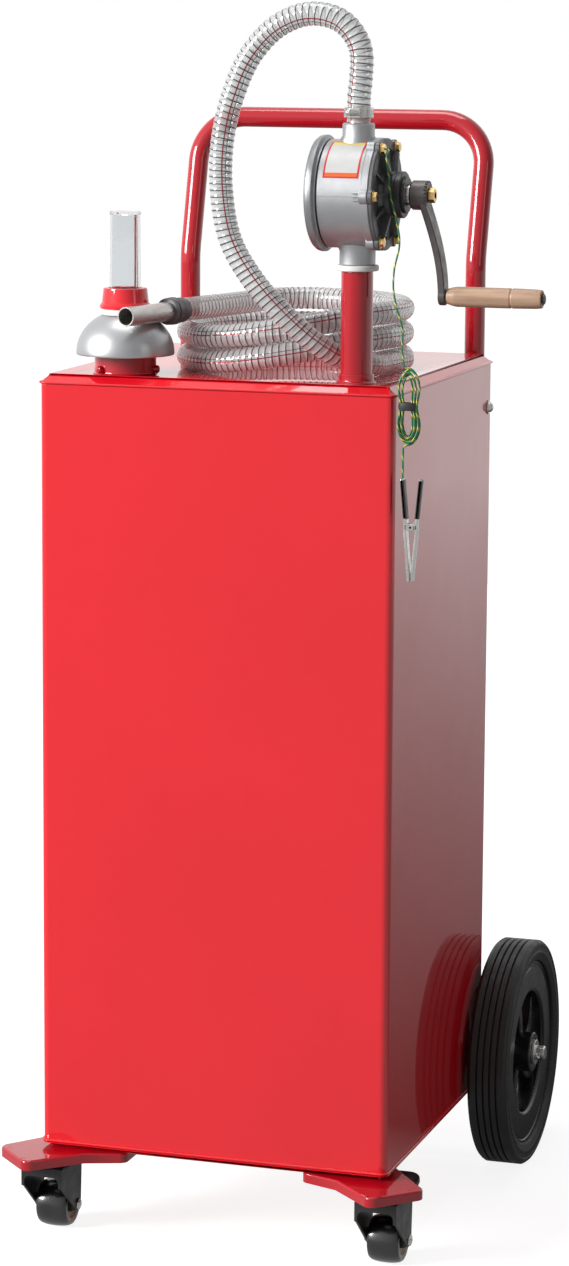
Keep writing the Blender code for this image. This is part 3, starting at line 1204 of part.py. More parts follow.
def coil_direction(degrees):
    turn = math.radians(degrees)
    return Vector((-math.sin(turn), math.cos(turn), 0))


def make_hose():
    start = coil_point(COIL_START_DEG)
    end = coil_point(COIL_END_DEG)
    lead_in = coil_direction(COIL_START_DEG)
    lead_out = coil_direction(COIL_END_DEG)
    outlet = Vector((PIPE_X, PIPE_Y, PUMP_HEIGHT + STUB_HIGH_REACH + GAP))
    up = Vector((0, 0, 1))
    riser_end = start - lead_in * GAP
    riser = [outlet + up * HOSE_STRAIGHT] + [Vector(p) for p in RISER_ROUTE] + [start - lead_in * HOSE_STRAIGHT]
    riser = [outlet] + smooth_path(riser, up, lead_in) + [riser_end]
    turns = COIL_END_DEG - COIL_START_DEG
    straight = math.degrees(HOSE_STRAIGHT / COIL_RADIUS)
    count = int(turns / COIL_STEP_DEG)
    inner = [COIL_START_DEG + straight + (turns - 2 * straight) * k / count for k in range(count + 1)]
    coil = [start] + [start + lead_in * HOSE_STRAIGHT]
    coil += [coil_point(a) for a in inner if COIL_START_DEG + 2 * straight < a < COIL_END_DEG - 2 * straight]
    coil += [end - lead_out * HOSE_STRAIGHT, end]
    nozzle = nozzle_frame()
    hose_tip = nozzle @ Vector((0, NOZZLE_VISIBLE + NOZZLE_COLLAR_LENGTH + 2 * GAP, 0))
    toward = (nozzle.to_3x3() @ Vector((0, -1, 0))).normalized()
    lead_start = end + lead_out * GAP
    lead = [end + lead_out * HOSE_STRAIGHT] + [Vector(p) for p in LEAD_ROUTE] + [hose_tip - toward * HOSE_STRAIGHT]
    lead = [lead_start] + smooth_path(lead, lead_out, toward) + [hose_tip]
    gap = least_gap(evenly(riser + coil + lead, MEASURE_POINTS), 2 * HOSE_RADIUS)
    print(f"hose: least gap to itself {gap * 1000:.2f} mm")
    ribbed_hose("hose_riser", riser, RISER_RIBS)
    ribbed_hose("hose_coil", coil, COIL_RIBS)
    ribbed_hose("hose_lead", lead, LEAD_RIBS)
    make_clamp(outlet)
    make_nozzle(nozzle)


def nozzle_frame():
    """The nozzle lies along its own +Y from its open end to the hose."""
    return Matrix.Translation(NOZZLE_END) @ Matrix.Rotation(-math.radians(NOZZLE_YAW_DEG), 4, "Z")


def make_clamp(outlet):
    low = outlet.z + CLAMP_BAND / 2
    high = low + CLAMP_BAND
    inner = turning_bore(HOSE_RADIUS, SMALL_SIDES)
    band = turned([(inner, low), (CLAMP_RADIUS, low), (CLAMP_RADIUS, high), (inner, high)], SMALL_SIDES)
    clamp = piece("hose_clamp", band, STEEL, CADDY, (outlet.x, outlet.y, 0))
    across = CLAMP_RADIUS + CLAMP_SCREW_RADIUS - GAP
    half = CLAMP_SCREW_LENGTH / 2
    screw = rod(CLAMP_SCREW_RADIUS, -half, half, TINY_SIDES, "X")
    tool(clamp, screw, "UNION", (0, -across, (low + high) / 2))


def make_nozzle(frame):
    turn = (0, 0, -math.radians(NOZZLE_YAW_DEG))
    bore = NOZZLE_RADIUS - NOZZLE_WALL
    spout = [(bore, 0), (NOZZLE_RADIUS, 0), (NOZZLE_RADIUS, NOZZLE_VISIBLE), (bore, NOZZLE_VISIBLE)]
    piece("nozzle_tube", turned(spout, SMALL_SIDES, "Y"), STEEL, CADDY, NOZZLE_END, turn)
    low = NOZZLE_VISIBLE + GAP
    high = low + NOZZLE_COLLAR_LENGTH
    edge = NOZZLE_WALL
    collar = [(bore, low), (NOZZLE_COLLAR_RADIUS - edge, low), (NOZZLE_COLLAR_RADIUS, low + edge)]
    collar += [(NOZZLE_COLLAR_RADIUS, high - edge), (NOZZLE_COLLAR_RADIUS - edge, high), (bore, high)]
    piece("nozzle_collar", turned(collar, SMALL_SIDES, "Y"), DARK, CADDY, NOZZLE_END, turn)


# Earth wire: from a cover bolt down past the deck's corner to its hank and clip
def hank_point(turns):
    """Loops spiral in on one layer and out again on the next, drawn in at the waist."""
    half_way = HANK_TURNS / 2
    inward = half_way - abs(turns - half_way)
    climb = min(max((turns - half_way) / HANK_CROSSING, -1 / 2), 1 / 2)
    angle = 2 * math.pi * turns
    height = (HANK_HALF_HEIGHT - HANK_STEP * inward) * math.cos(angle)
    waist = 1 - HANK_WAIST_SHARE * math.exp(-((height / HANK_WAIST_REACH) ** 2))
    across = (HANK_HALF_WIDTH - HANK_STEP * inward) * math.sin(angle) * waist
    return Vector((HANK_X + across, HANK_Y + HANK_LAYER * climb, HANK_Z + height))


def make_wire():
    count = int(HANK_TURNS * HANK_POINTS)
    hank = [hank_point(HANK_TURNS * k / count) for k in range(count + 1)]
    print(f"hank: least gap to itself {(least_gap(hank, 2 * WIRE_RADIUS)) * 1000:.2f} mm")
    curve_tube("wire_hank", hank, WIRE_RADIUS, WIRE_RESOLUTION, WIRE)
    first = (hank[1] - hank[0]).normalized()
    last = (hank[-1] - hank[-2]).normalized()
    run = 2 * WIRE_RADIUS
    upper_end = hank[0] - first * GAP
    pump = Matrix.Translation((PIPE_X, PIPE_Y, PUMP_HEIGHT)) @ Matrix.Rotation(math.radians(PUMP_YAW_DEG), 4, "Z")
    half_step = math.pi / BOLTS
    head = BODY_RIGHT + GAP + COVER_WIDTH + BOSS_RAISE + GAP + BOLT_HEAD_HEIGHT + GAP
    y = -BOLT_CIRCLE * math.sin(half_step)
    z = BOLT_CIRCLE * math.cos(half_step)
    bolt = pump @ Vector((head, y, z))
    out = (pump.to_3x3() @ Vector((1, 0, 0))).normalized()
    upper = [bolt + out * run] + [Vector(p) for p in WIRE_ROUTE] + [hank[0] - first * run]
    upper = evenly(smooth_path(upper, out, first), WIRE_POINTS)
    upper = [bolt] + upper + [upper_end]
    curve_tube("wire_upper", upper, WIRE_RADIUS, WIRE_RESOLUTION, WIRE)
    down = Vector((0, 0, -1))
    clip_top = Vector((CLIP_X - CLIP_SPREAD + CLIP_SHEET / 2, HANK_Y, CLIP_TOP + GAP))
    tail = [hank[-1] + last * run] + [Vector(p) for p in TAIL_ROUTE] + [clip_top - down * run]
    tail = evenly(smooth_path(tail, last, down), TAIL_POINTS)
    tail = [hank[-1] + last * GAP] + tail + [clip_top]
    curve_tube("wire_tail", tail, WIRE_RADIUS, WIRE_RESOLUTION, WIRE)


# Spring clip: two sheet levers on one pin
def make_clip():
    axis = empty("clip_axis", (CLIP_X, HANK_Y, CLIP_TOP - CLIP_HANDLE), (0, 0, 0), CADDY)
    neck = CLIP_NECK
    sheet = CLIP_SHEET
    tip = FINE
    side = [(-CLIP_SPREAD, CLIP_HANDLE), (-neck - sheet, CLIP_KNUCKLE), (-neck - sheet, -CLIP_KNUCKLE)]
    side += [(-sheet, -CLIP_JAW), (-tip, -CLIP_JAW), (-tip, -CLIP_JAW + CLIP_KNUCKLE), (-neck, -CLIP_KNUCKLE)]
    side += [(-neck, CLIP_KNUCKLE), (-CLIP_SPREAD + sheet, CLIP_HANDLE)]
    half = CLIP_WIDTH / 2
    fixed = piece("clip_fixed", prism(side, -half, half, "Y"), STEEL, axis)
    ear = CLIP_CHEEK_SIDE
    for cheek in (-1, 1):
        ends = sorted((cheek * (half - CLIP_CHEEK), cheek * half))
        plate = block((-neck - sheet / 2, ends[0], -ear), (ear, ends[1], ear))
        tool(fixed, plate, "UNION")
    tool(fixed, rod(CLIP_PIN_RADIUS, -half, half, TINY_SIDES, "Y"), "UNION")
    mirrored = [(-x, z) for x, z in side]
    inner = half - CLIP_CHEEK - GAP
    jaw = piece("clip_jaw", prism(mirrored, -inner, inner, "Y"), STEEL, axis)
    tool(jaw, rod(CLIP_BOSS_RADIUS, -inner, inner, TINY_SIDES, "Y"), "UNION")
    web = block((0, -inner, -ear / 2), (neck + sheet / 2, inner, ear / 2))
    tool(jaw, web, "UNION")
    reach = inner + OVERRUN
    hole = turning_bore(CLIP_PIN_RADIUS, TINY_SIDES)
    tool(jaw, rod(hole, -reach, reach, TINY_SIDES, "Y"), "DIFFERENCE")


CORDS = (
    "hose_riser", "hose_coil", "hose_lead", "nozzle_tube", "nozzle_collar",
    "wire_upper", "wire_hank", "wire_tail", "clip_fixed", "clip_jaw",
)


def stand_on_origin():
    """Moves the caddy so that the box of everything but the hose and wire stands on the origin."""
    bpy.context.view_layer.update()
    graph = bpy.context.evaluated_depsgraph_get()
    low = Vector((1, 1, 1)) * math.inf
    high = -low
    for part in bpy.data.objects:
        if part.type not in {"MESH", "CURVE"} or part.hide_render or part.name in CORDS:
            continue
        ready = part.evaluated_get(graph)
        for vertex in ready.to_mesh().vertices:
            point = ready.matrix_world @ vertex.co
            low = Vector(map(min, low, point))
            high = Vector(map(max, high, point))
        ready.to_mesh_clear()
    CADDY.location = (-(low.x + high.x) / 2, -(low.y + high.y) / 2, -low.z)
    bpy.context.view_layer.update()
    for frame in bpy.data.objects:
        if frame.type == "EMPTY":
            print(frame.name, [round(v, 5) for v in frame.matrix_world.translation])


make_tank()
make_filler()
make_standpipe()
make_pump()
make_handle()
make_rear_wheels()
make_caster("left", -1)
make_caster("right", 1)
make_hose()
make_wire()
make_clip()
stand_on_origin()
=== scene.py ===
import json
import math
import random

import bmesh
import bpy
from mathutils import Matrix, Vector

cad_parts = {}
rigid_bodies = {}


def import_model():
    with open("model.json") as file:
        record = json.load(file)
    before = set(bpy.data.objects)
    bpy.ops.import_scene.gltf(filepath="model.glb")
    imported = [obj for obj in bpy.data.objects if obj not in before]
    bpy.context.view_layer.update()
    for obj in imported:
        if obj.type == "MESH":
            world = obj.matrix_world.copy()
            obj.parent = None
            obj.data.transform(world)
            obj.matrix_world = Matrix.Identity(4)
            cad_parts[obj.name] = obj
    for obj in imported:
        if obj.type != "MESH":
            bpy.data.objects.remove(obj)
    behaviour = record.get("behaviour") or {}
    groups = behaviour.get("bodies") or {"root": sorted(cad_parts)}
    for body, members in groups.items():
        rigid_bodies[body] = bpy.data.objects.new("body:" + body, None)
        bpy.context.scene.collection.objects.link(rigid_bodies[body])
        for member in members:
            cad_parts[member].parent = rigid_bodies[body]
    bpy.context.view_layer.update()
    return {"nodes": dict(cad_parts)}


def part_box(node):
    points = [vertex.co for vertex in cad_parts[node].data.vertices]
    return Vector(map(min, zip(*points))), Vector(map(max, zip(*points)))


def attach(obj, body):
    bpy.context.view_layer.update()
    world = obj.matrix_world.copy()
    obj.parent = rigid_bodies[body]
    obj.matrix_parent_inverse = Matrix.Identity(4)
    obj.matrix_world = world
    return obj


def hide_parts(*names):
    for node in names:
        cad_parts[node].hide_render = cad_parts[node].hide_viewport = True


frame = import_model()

shellLow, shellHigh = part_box("tank_shell")
# every place below is measured from the floor under the tank's middle
tankCentre = Vector(((shellLow[0] + shellHigh[0]) / 2, (shellLow[1] + shellHigh[1]) / 2, 0))
stageObjects = bpy.context.scene.collection.objects
bothSides = (("left", -1), ("right", 1))
fitGap = 0.0003
print("frame loaded")


photoCamera = {
    "position": (1.2015, -3.7126, 1.2874),
    "turn": 17.727,
    "dip": 9.686,
    "roll": 0.369,
    "focalPixels": 3740.9,
    "imageHeight": 1266,
    "sensor": 36,
    "farthest": 50,
}


def addCamera(view):
    turn, dip, roll = (math.radians(view[key]) for key in ("turn", "dip", "roll"))
    forward = Vector((-math.sin(turn) * math.cos(dip), math.cos(turn) * math.cos(dip), -math.sin(dip)))
    right = Vector((math.cos(turn), math.sin(turn), 0))
    up = right.cross(forward)
    across = right * math.cos(roll) + up * math.sin(roll)
    upward = up * math.cos(roll) - right * math.sin(roll)
    data = bpy.data.cameras.new("photoCamera")
    data.sensor_width = view["sensor"]
    data.lens = view["focalPixels"] / view["imageHeight"] * view["sensor"]
    data.clip_end = view["farthest"]
    camera = bpy.data.objects.new("photoCamera", data)
    stageObjects.link(camera)
    turned = Matrix((across, upward, -forward)).transposed().to_4x4()
    camera.matrix_world = Matrix.Translation(tankCentre + Vector(view["position"])) @ turned
    bpy.context.scene.camera = camera


addCamera(photoCamera)
print("camera placed")


# Shader nodes: each input is linked to a socket or set to a value
def plugged(tree, node, sources):
    for key, value in dict(sources).items():
        if isinstance(value, bpy.types.NodeSocket):
            tree.links.new(value, node.inputs[key])
        else:
            node.inputs[key].default_value = value
    return node


def addNode(tree, kind, sources=(), **settings):
    node = tree.nodes.new(f"ShaderNode{kind}")
    for label, value in settings.items():
        setattr(node, label, value)
    return plugged(tree, node, sources)


def mathNode(tree, operation, *values, clamp=False):
    return addNode(tree, "Math", enumerate(values), operation=operation, use_clamp=clamp).outputs[0]


def mixNode(tree, factor, first, second):
    return addNode(tree, "Mix", {"Factor": factor, 6: first, 7: second}, data_type="RGBA").outputs[2]


def newGroup(name, inputs, outputs):
    group = bpy.data.node_groups.new(name, "ShaderNodeTree")
    kinds = {"color": "NodeSocketColor", "float": "NodeSocketFloat", "vector": "NodeSocketVector"}
    for label, kind, value in inputs:
        made = group.interface.new_socket(name=label, in_out="INPUT", socket_type=kinds[kind])
        made.default_value = value
    for label, kind in outputs:
        group.interface.new_socket(name=label, in_out="OUTPUT", socket_type=kinds[kind])
    return group, group.nodes.new("NodeGroupInput").outputs, group.nodes.new("NodeGroupOutput")


def makeGrain():
    # varies colour, roughness and relief
    group, entry, leave = newGroup("grain", [
        ("Color", "color", (0.5, 0.5, 0.5, 1)), ("Fleck Color", "color", (0.4, 0.4, 0.4, 1)),
        ("Fleck Amount", "float", 0.3), ("Roughness", "float", 0.4), ("Roughness Change", "float", 0.1),
        ("Scale", "float", 30), ("Fine Scale", "float", 900), ("Relief", "float", 0.0001),
        ("Stretch", "vector", (1, 1, 1)),
    ], [("Color", "color"), ("Roughness", "float"), ("Normal", "vector")])
    place = addNode(group, "TexCoord").outputs["Object"]
    stretched = addNode(group, "VectorMath", {0: place, 1: entry["Stretch"]}, operation="MULTIPLY").outputs[0]
    clouds = addNode(group, "TexNoise", {"Detail": 5, "Vector": stretched, "Scale": entry["Scale"]})
    fine = addNode(group, "TexNoise", {"Detail": 2, "Vector": stretched, "Scale": entry["Fine Scale"]})
    spread = addNode(group, "MapRange", {"Value": clouds.outputs["Fac"], "From Min": 0.35,
                                         "From Max": 0.65}).outputs[0]
    share = mathNode(group, "MULTIPLY", spread, entry["Fleck Amount"])
    bump = addNode(group, "Bump", {"Height": fine.outputs["Fac"], "Distance": entry["Relief"]})
    plugged(group, leave, {
        "Color": mixNode(group, share, entry["Color"], entry["Fleck Color"]),
        "Roughness": mathNode(group, "MULTIPLY_ADD", spread, entry["Roughness Change"], entry["Roughness"]),
        "Normal": bump.outputs["Normal"]})
    return group


def makeCordBands():
    # rings and two lines along a cord's own UV
    group, entry, leave = newGroup("cordBands", [
        ("Pitch", "float", 0.005), ("Winds", "float", 1), ("Width", "float", 0.3),
        ("Line Place", "float", 0.3), ("Line Width", "float", 0.02),
        ("Second Line Place", "float", 0.5), ("Second Line Width", "float", 0.02),
    ], [("Ring", "float"), ("Line", "float"), ("Second Line", "float")])
    own = addNode(group, "UVMap", uv_map="alongCord").outputs[0]
    turn, run = addNode(group, "SeparateXYZ", {0: own}).outputs[:2]
    laps = mathNode(group, "DIVIDE", run, entry["Pitch"])
    phase = mathNode(group, "FRACT", mathNode(group, "MULTIPLY_ADD", turn, entry["Winds"], laps))
    away = mathNode(group, "ABSOLUTE", mathNode(group, "SUBTRACT", phase, 0.5))
    edge = mathNode(group, "SUBTRACT", mathNode(group, "MULTIPLY", entry["Width"], 0.5), away)
    masks = {"Ring": mathNode(group, "MULTIPLY", edge, 12, clamp=True)}
    for label in ("Line", "Second Line"):
        off = mathNode(group, "ABSOLUTE", mathNode(group, "SUBTRACT", turn, entry[f"{label} Place"]))
        half = mathNode(group, "MULTIPLY", entry[f"{label} Width"], 0.5)
        masks[label] = mathNode(group, "MULTIPLY", mathNode(group, "SUBTRACT", half, off), 200, clamp=True)
    plugged(group, leave, masks)
    return group


grainGroup = makeGrain()
cordBandGroup = makeCordBands()
grainLabels = ("Fleck Amount", "Roughness", "Roughness Change", "Scale", "Fine Scale", "Relief")


def finishOf(name, slot, color, fleck, grain, stretch=(1, 1, 1), **sockets):
    # the grain's values come in the order of grainLabels
    material = bpy.data.materials.new(name)
    material.use_nodes = True
    tree = material.node_tree
    node = addNode(tree, "Group", node_tree=grainGroup)
    plugged(tree, node, {"Color": (*color, 1), "Fleck Color": (*fleck, 1), "Stretch": stretch,
                         **dict(zip(grainLabels, grain))})
    values = {label.replace("_", " "): value for label, value in sockets.items()}
    plugged(tree, tree.nodes["Principled BSDF"], {
        "Base Color": node.outputs["Color"], "Roughness": node.outputs["Roughness"],
        "Normal": node.outputs["Normal"], **values})
    return material


redEnamel = finishOf(
    "redEnamel", "red_enamel", (0.80, 0.007, 0.018), (0.72, 0.004, 0.012),
    (0.5, 0.34, 0.10, 5, 260, 0.00003), Coat_Weight=1.0, Coat_Roughness=0.02, Coat_IOR=1.62,
    Specular_IOR_Level=0.08)
# the tank's red enamel made darker: painted shade for the handle, standpipe, filler neck and corner brackets
shadedTubeEnamel = finishOf(
    "shadedTubeEnamel", "red_enamel", (0.47, 0.003, 0.013), (0.40, 0.002, 0.010),
    (0.5, 0.30, 0.10, 12, 400, 0.00003), Coat_Weight=1.0, Coat_Roughness=0.02, Coat_IOR=1.55,
    Specular_IOR_Level=0.10)
castAluminium = finishOf(
    "castAluminium", "cast_aluminium", (0.40, 0.405, 0.415), (0.32, 0.325, 0.335),
    (0.5, 0.40, 0.12, 60, 1500, 0.00012), Metallic=0.88)
greyCasting = finishOf(
    "greyCasting", "cast_aluminium", (0.31, 0.315, 0.325), (0.24, 0.245, 0.25),
    (0.5, 0.32, 0.12, 60, 1500, 0.00010), Metallic=0.85)
darkCasting = finishOf(
    "darkCasting", "dark_casting", (0.15, 0.15, 0.155), (0.09, 0.09, 0.092),
    (0.6, 0.38, 0.15, 90, 1300, 0.00012), Metallic=0.55)
zincSteel = finishOf(
    "zincSteel", "zinc_steel", (0.62, 0.61, 0.59), (0.45, 0.44, 0.43),
    (0.5, 0.20, 0.15, 120, 1800, 0.00004), Metallic=1.0)
brushedSteel = finishOf(
    "brushedSteel", "zinc_steel", (0.60, 0.58, 0.555), (0.42, 0.40, 0.385),
    (0.6, 0.22, 0.14, 90, 1400, 0.00005), (1, 0.08, 1), Metallic=0.85)
yellowBrass = finishOf(
    "yellowBrass", "brass", (0.78, 0.55, 0.25), (0.55, 0.36, 0.13), (0.6, 0.22, 0.18, 160, 1800, 0.00004),
    Metallic=1.0)
armSteel = finishOf(
    "armSteel", "dark_casting", (0.125, 0.11, 0.108), (0.07, 0.062, 0.06),
    (0.6, 0.34, 0.14, 80, 1200, 0.00008), Metallic=0.6)
rodPlastic = finishOf(
    "rodPlastic", "turned_wood", (0.36, 0.10, 0.07), (0.26, 0.06, 0.04), (0.4, 0.30, 0.1, 80, 900, 0.00002))
turnedWood = finishOf(
    "turnedWood", "turned_wood", (0.52, 0.335, 0.225), (0.30, 0.17, 0.10),
    (0.7, 0.42, 0.18, 170, 700, 0.00012), (0.07, 1, 1), Coat_Weight=0.15, Coat_Roughness=0.3)
tyreRubber = finishOf(
    "tyreRubber", "black_rubber", (0.0050, 0.0046, 0.0046), (0.010, 0.0095, 0.0095),
    (0.6, 0.46, 0.16, 45, 1300, 0.00010))
glossRubber = finishOf(
    "glossRubber", "black_rubber", (0.008, 0.008, 0.008), (0.014, 0.0135, 0.0135),
    (0.6, 0.20, 0.15, 70, 900, 0.00003), Coat_Weight=0.7, Coat_Roughness=0.06)
rimPlastic = finishOf(
    "rimPlastic", "black_plastic", (0.010, 0.010, 0.010), (0.018, 0.017, 0.017),
    (0.5, 0.22, 0.12, 50, 1200, 0.00004))
blackPlastic = finishOf(
    "blackPlastic", "black_plastic", (0.014, 0.014, 0.015), (0.026, 0.025, 0.025),
    (0.5, 0.34, 0.14, 60, 1500, 0.00006))
silverPaint = finishOf(
    "silverPaint", "silver_paint", (0.50, 0.51, 0.52), (0.42, 0.43, 0.44),
    (0.5, 0.30, 0.08, 25, 2200, 0.00003), Metallic=0.85)
whitePlastic = finishOf(
    "whitePlastic", "white_plastic", (0.84, 0.83, 0.81), (0.76, 0.75, 0.72),
    (0.4, 0.35, 0.1, 60, 900, 0.00003))
ivoryPlastic = finishOf(
    "ivoryPlastic", "white_plastic", (0.62, 0.52, 0.43), (0.50, 0.40, 0.32),
    (0.5, 0.35, 0.1, 90, 900, 0.00003))
sightPlastic = finishOf(
    "sightPlastic", "clear_plastic", (0.80, 0.82, 0.83), (0.74, 0.76, 0.77),
    (0.3, 0.03, 0.03, 40, 300, 0.00001), Transmission_Weight=1.0, IOR=1.30)


def makeHosePlastic():
    material = finishOf(
        "hosePlastic", "clear_plastic", (0.72, 0.73, 0.73), (0.54, 0.55, 0.55),
        (0.4, 0.12, 0.08, 60, 700, 0.00003),
        Coat_Weight=0.8, Coat_Roughness=0.04)
    tree = material.node_tree
    shader = tree.nodes["Principled BSDF"]
    bands = addNode(tree, "Group", node_tree=cordBandGroup)
    plugged(tree, bands, {"Pitch": hoseLook["pitch"], "Winds": 1.0, "Width": hoseLook["wireShare"],
                          "Line Place": hoseLook["redLine"], "Line Width": 0.024,
                          "Second Line Place": hoseLook["blackLine"], "Second Line Width": 0.015})
    ring, red, black = (bands.outputs[label] for label in ("Ring", "Line", "Second Line"))
    color = shader.inputs["Base Color"].links[0].from_socket
    paints = ((0.08, 0.08, 0.08, 1), (0.30, 0.005, 0.014, 1), (0.015, 0.015, 0.02, 1))
    for mask, paint in zip((ring, red, black), paints):
        color = mixNode(tree, mask, color, paint)
    lines = mathNode(tree, "MAXIMUM", red, black)
    solid = mathNode(tree, "MAXIMUM", lines, mathNode(tree, "MULTIPLY", ring, 0.9))
    clear = hoseLook["clearAlpha"]
    plugged(tree, shader, {"Base Color": color, "Alpha": mathNode(tree, "MULTIPLY_ADD", solid, 1 - clear,
                                                                  clear),
                           "Metallic": mathNode(tree, "MULTIPLY", ring, 0.8)})
    return material


def makeEarthWirePlastic():
    material = finishOf(
        "earthWirePlastic", "earth_wire", (0.008, 0.17, 0.055), (0.004, 0.10, 0.03),
        (0.4, 0.30, 0.1, 150, 1500, 0.00002))
    tree = material.node_tree
    shader = tree.nodes["Principled BSDF"]
    bands = addNode(tree, "Group", node_tree=cordBandGroup)
    plugged(tree, bands, {"Pitch": wireLook["pitch"], "Winds": 1.0, "Width": wireLook["yellowShare"],
                          "Line Place": -1.0, "Second Line Place": -1.0})
    plain = shader.inputs["Base Color"].links[0].from_socket
    plugged(tree, shader, {"Base Color": mixNode(tree, bands.outputs["Ring"], plain, (0.70, 0.62, 0.04, 1))})
    return material


# Mesh tools
def merged(shape):
    bmesh.ops.remove_doubles(shape, verts=shape.verts, dist=0.000001)
    bmesh.ops.recalc_face_normals(shape, faces=shape.faces)
    return shape


def turned(profile, steps, axis="Z"):
    # (radius, height) points spun into a round piece
    shape = bmesh.new()
    points = [shape.verts.new((radius, 0, height)) for radius, height in profile]
    edges = [shape.edges.new(pair) for pair in zip(points, points[1:])]
    if profile[0][0] > 0 and profile[-1][0] > 0:
        edges.append(shape.edges.new((points[-1], points[0])))
    bmesh.ops.spin(shape, geom=points + edges, cent=(0, 0, 0), axis=(0, 0, 1), angle=2 * math.pi, steps=steps,
                   use_merge=True)
    if axis == "X":
        bmesh.ops.rotate(shape, verts=shape.verts, matrix=Matrix.Rotation(math.pi / 2, 3, "Y"))
    if axis == "Y":
        bmesh.ops.rotate(shape, verts=shape.verts, matrix=Matrix.Rotation(-math.pi / 2, 3, "X"))
    return merged(shape)


def bevelled(shape, edges, width, segments):
    bmesh.ops.bevel(shape, geom=edges, offset=width, offset_type="OFFSET", segments=segments, profile=0.5,
                    affect="EDGES", clamp_overlap=True, material=-1)
    return shape


def softened(shape, width, segments=2, angle=35):
    sharp = [edge for edge in shape.edges
             if len(edge.link_faces) == 2 and edge.calc_face_angle() > math.radians(angle)]
    return bevelled(shape, sharp, width, segments)


def near(radius, height, *steps):
    # profile points beside one corner, at steps in tenths of a millimetre
    return [(radius + out / 10000, height + up / 10000) for out, up in steps]


def bar(radius, low, high, steps=24, axis="Z", edge=0.0004):
    return turned([(0, low), (radius - edge, low), (radius, low + edge), (radius, high - edge),
                   (radius - edge, high), (0, high)], steps, axis)


def hexagon(radius, low, high, axis="X", edge=0.0005):
    shape = turned([(0, low), (radius, low), (radius, high), (0, high)], 6, axis)
    return softened(shape, edge, 2, 40)


def plate(outline, low, high, axis="Z"):
    shape = bmesh.new()
    face = shape.faces.new([shape.verts.new((u, v, low)) for u, v in outline])
    grown = bmesh.ops.extrude_face_region(shape, geom=[face])["geom"]
    lifted = [part for part in grown if isinstance(part, bmesh.types.BMVert)]
    bmesh.ops.translate(shape, verts=lifted, vec=(0, 0, high - low))
    rows = {"Z": ((1, 0, 0), (0, 1, 0), (0, 0, 1)), "X": ((0, 0, 1), (1, 0, 0), (0, 1, 0)),
            "Y": ((1, 0, 0), (0, 0, 1), (0, 1, 0))}
    bmesh.ops.transform(shape, matrix=Matrix(rows[axis]).to_4x4(), verts=shape.verts)
    return merged(shape)


def block(low, high):
    shape = bmesh.new()
    low, high = Vector(low), Vector(high)
    bmesh.ops.create_cube(shape, size=1)
    bmesh.ops.scale(shape, vec=high - low, verts=shape.verts)
    bmesh.ops.translate(shape, vec=(low + high) / 2, verts=shape.verts)
    return shape


def lofted(rings):
    # bridges rings of points, and closes both ends
    shape = bmesh.new()
    loops = []
    for ring in rings:
        points = [shape.verts.new(point) for point in ring]
        loops.append([shape.edges.new((a, b)) for a, b in zip(points, points[1:] + points[:1])])
    for first, second in zip(loops, loops[1:]):
        bmesh.ops.bridge_loops(shape, edges=first + second)
    bmesh.ops.contextual_create(shape, geom=loops[0])
    bmesh.ops.contextual_create(shape, geom=loops[-1])
    return merged(shape)


def placed(shape, matrix):
    bmesh.ops.transform(shape, matrix=matrix, verts=shape.verts)
    return shape


def moved(shape, x=0, y=0, z=0):
    bmesh.ops.translate(shape, vec=(x, y, z), verts=shape.verts)
    return shape


def spun(shape, turn, axis="X"):
    return placed(shape, Matrix.Rotation(turn, 4, axis))


def facing(shape, sign):
    # round pieces are drawn for the right side, and turned about for the left
    return spun(shape, 0 if sign > 0 else math.pi, "Z")


def mirror(profile):
    return [(radius, -height) for radius, height in profile[::-1]]


def cutCorners(x, y, cut):
    # an oblong outline of half sizes x and y with its corners cut off
    return [(-x, -y + cut), (-x + cut, -y), (x - cut, -y), (x, -y + cut), (x, y - cut), (x - cut, y),
            (-x + cut, y), (-x, y - cut)]


def joined(*shapes):
    whole = bmesh.new()
    for shape in shapes:
        loose = bpy.data.meshes.new("loose")
        shape.to_mesh(loose)
        shape.free()
        whole.from_mesh(loose)
        bpy.data.meshes.remove(loose)
    return whole


def swept(path, radiusAt, sides):
    # a tube of rings along a path; its UV runs round the tube and along it in metres
    shape = bmesh.new()
    along = shape.loops.layers.uv.new("alongCord")
    rings, runs, run, normal = [], [], 0, None
    for k, point in enumerate(path):
        ahead = (path[min(k + 1, len(path) - 1)] - path[max(k - 1, 0)]).normalized()
        if normal is None:
            normal = ahead.orthogonal().normalized()
        else:
            run += (point - path[k - 1]).length
            normal = (normal - ahead * normal.dot(ahead)).normalized()
        across = ahead.cross(normal)
        ring = []
        for side in range(sides):
            turn = 2 * math.pi * side / sides
            out = normal * math.cos(turn) + across * math.sin(turn)
            ring.append(shape.verts.new(point + out * radiusAt(run, side / sides)))
        rings.append(ring)
        runs.append(run)
    for k in range(len(rings) - 1):
        for side in range(sides):
            after = (side + 1) % sides
            face = shape.faces.new((rings[k][side], rings[k][after], rings[k + 1][after], rings[k + 1][side]))
            corners = ((side, k), (side + 1, k), (side + 1, k + 1), (side, k + 1))
            for loop, (turn, ring) in zip(face.loops, corners):
                loop[along].uv = (turn / sides, runs[ring])
    shape.faces.new(rings[0][::-1])
    shape.faces.new(rings[-1])
    return shape


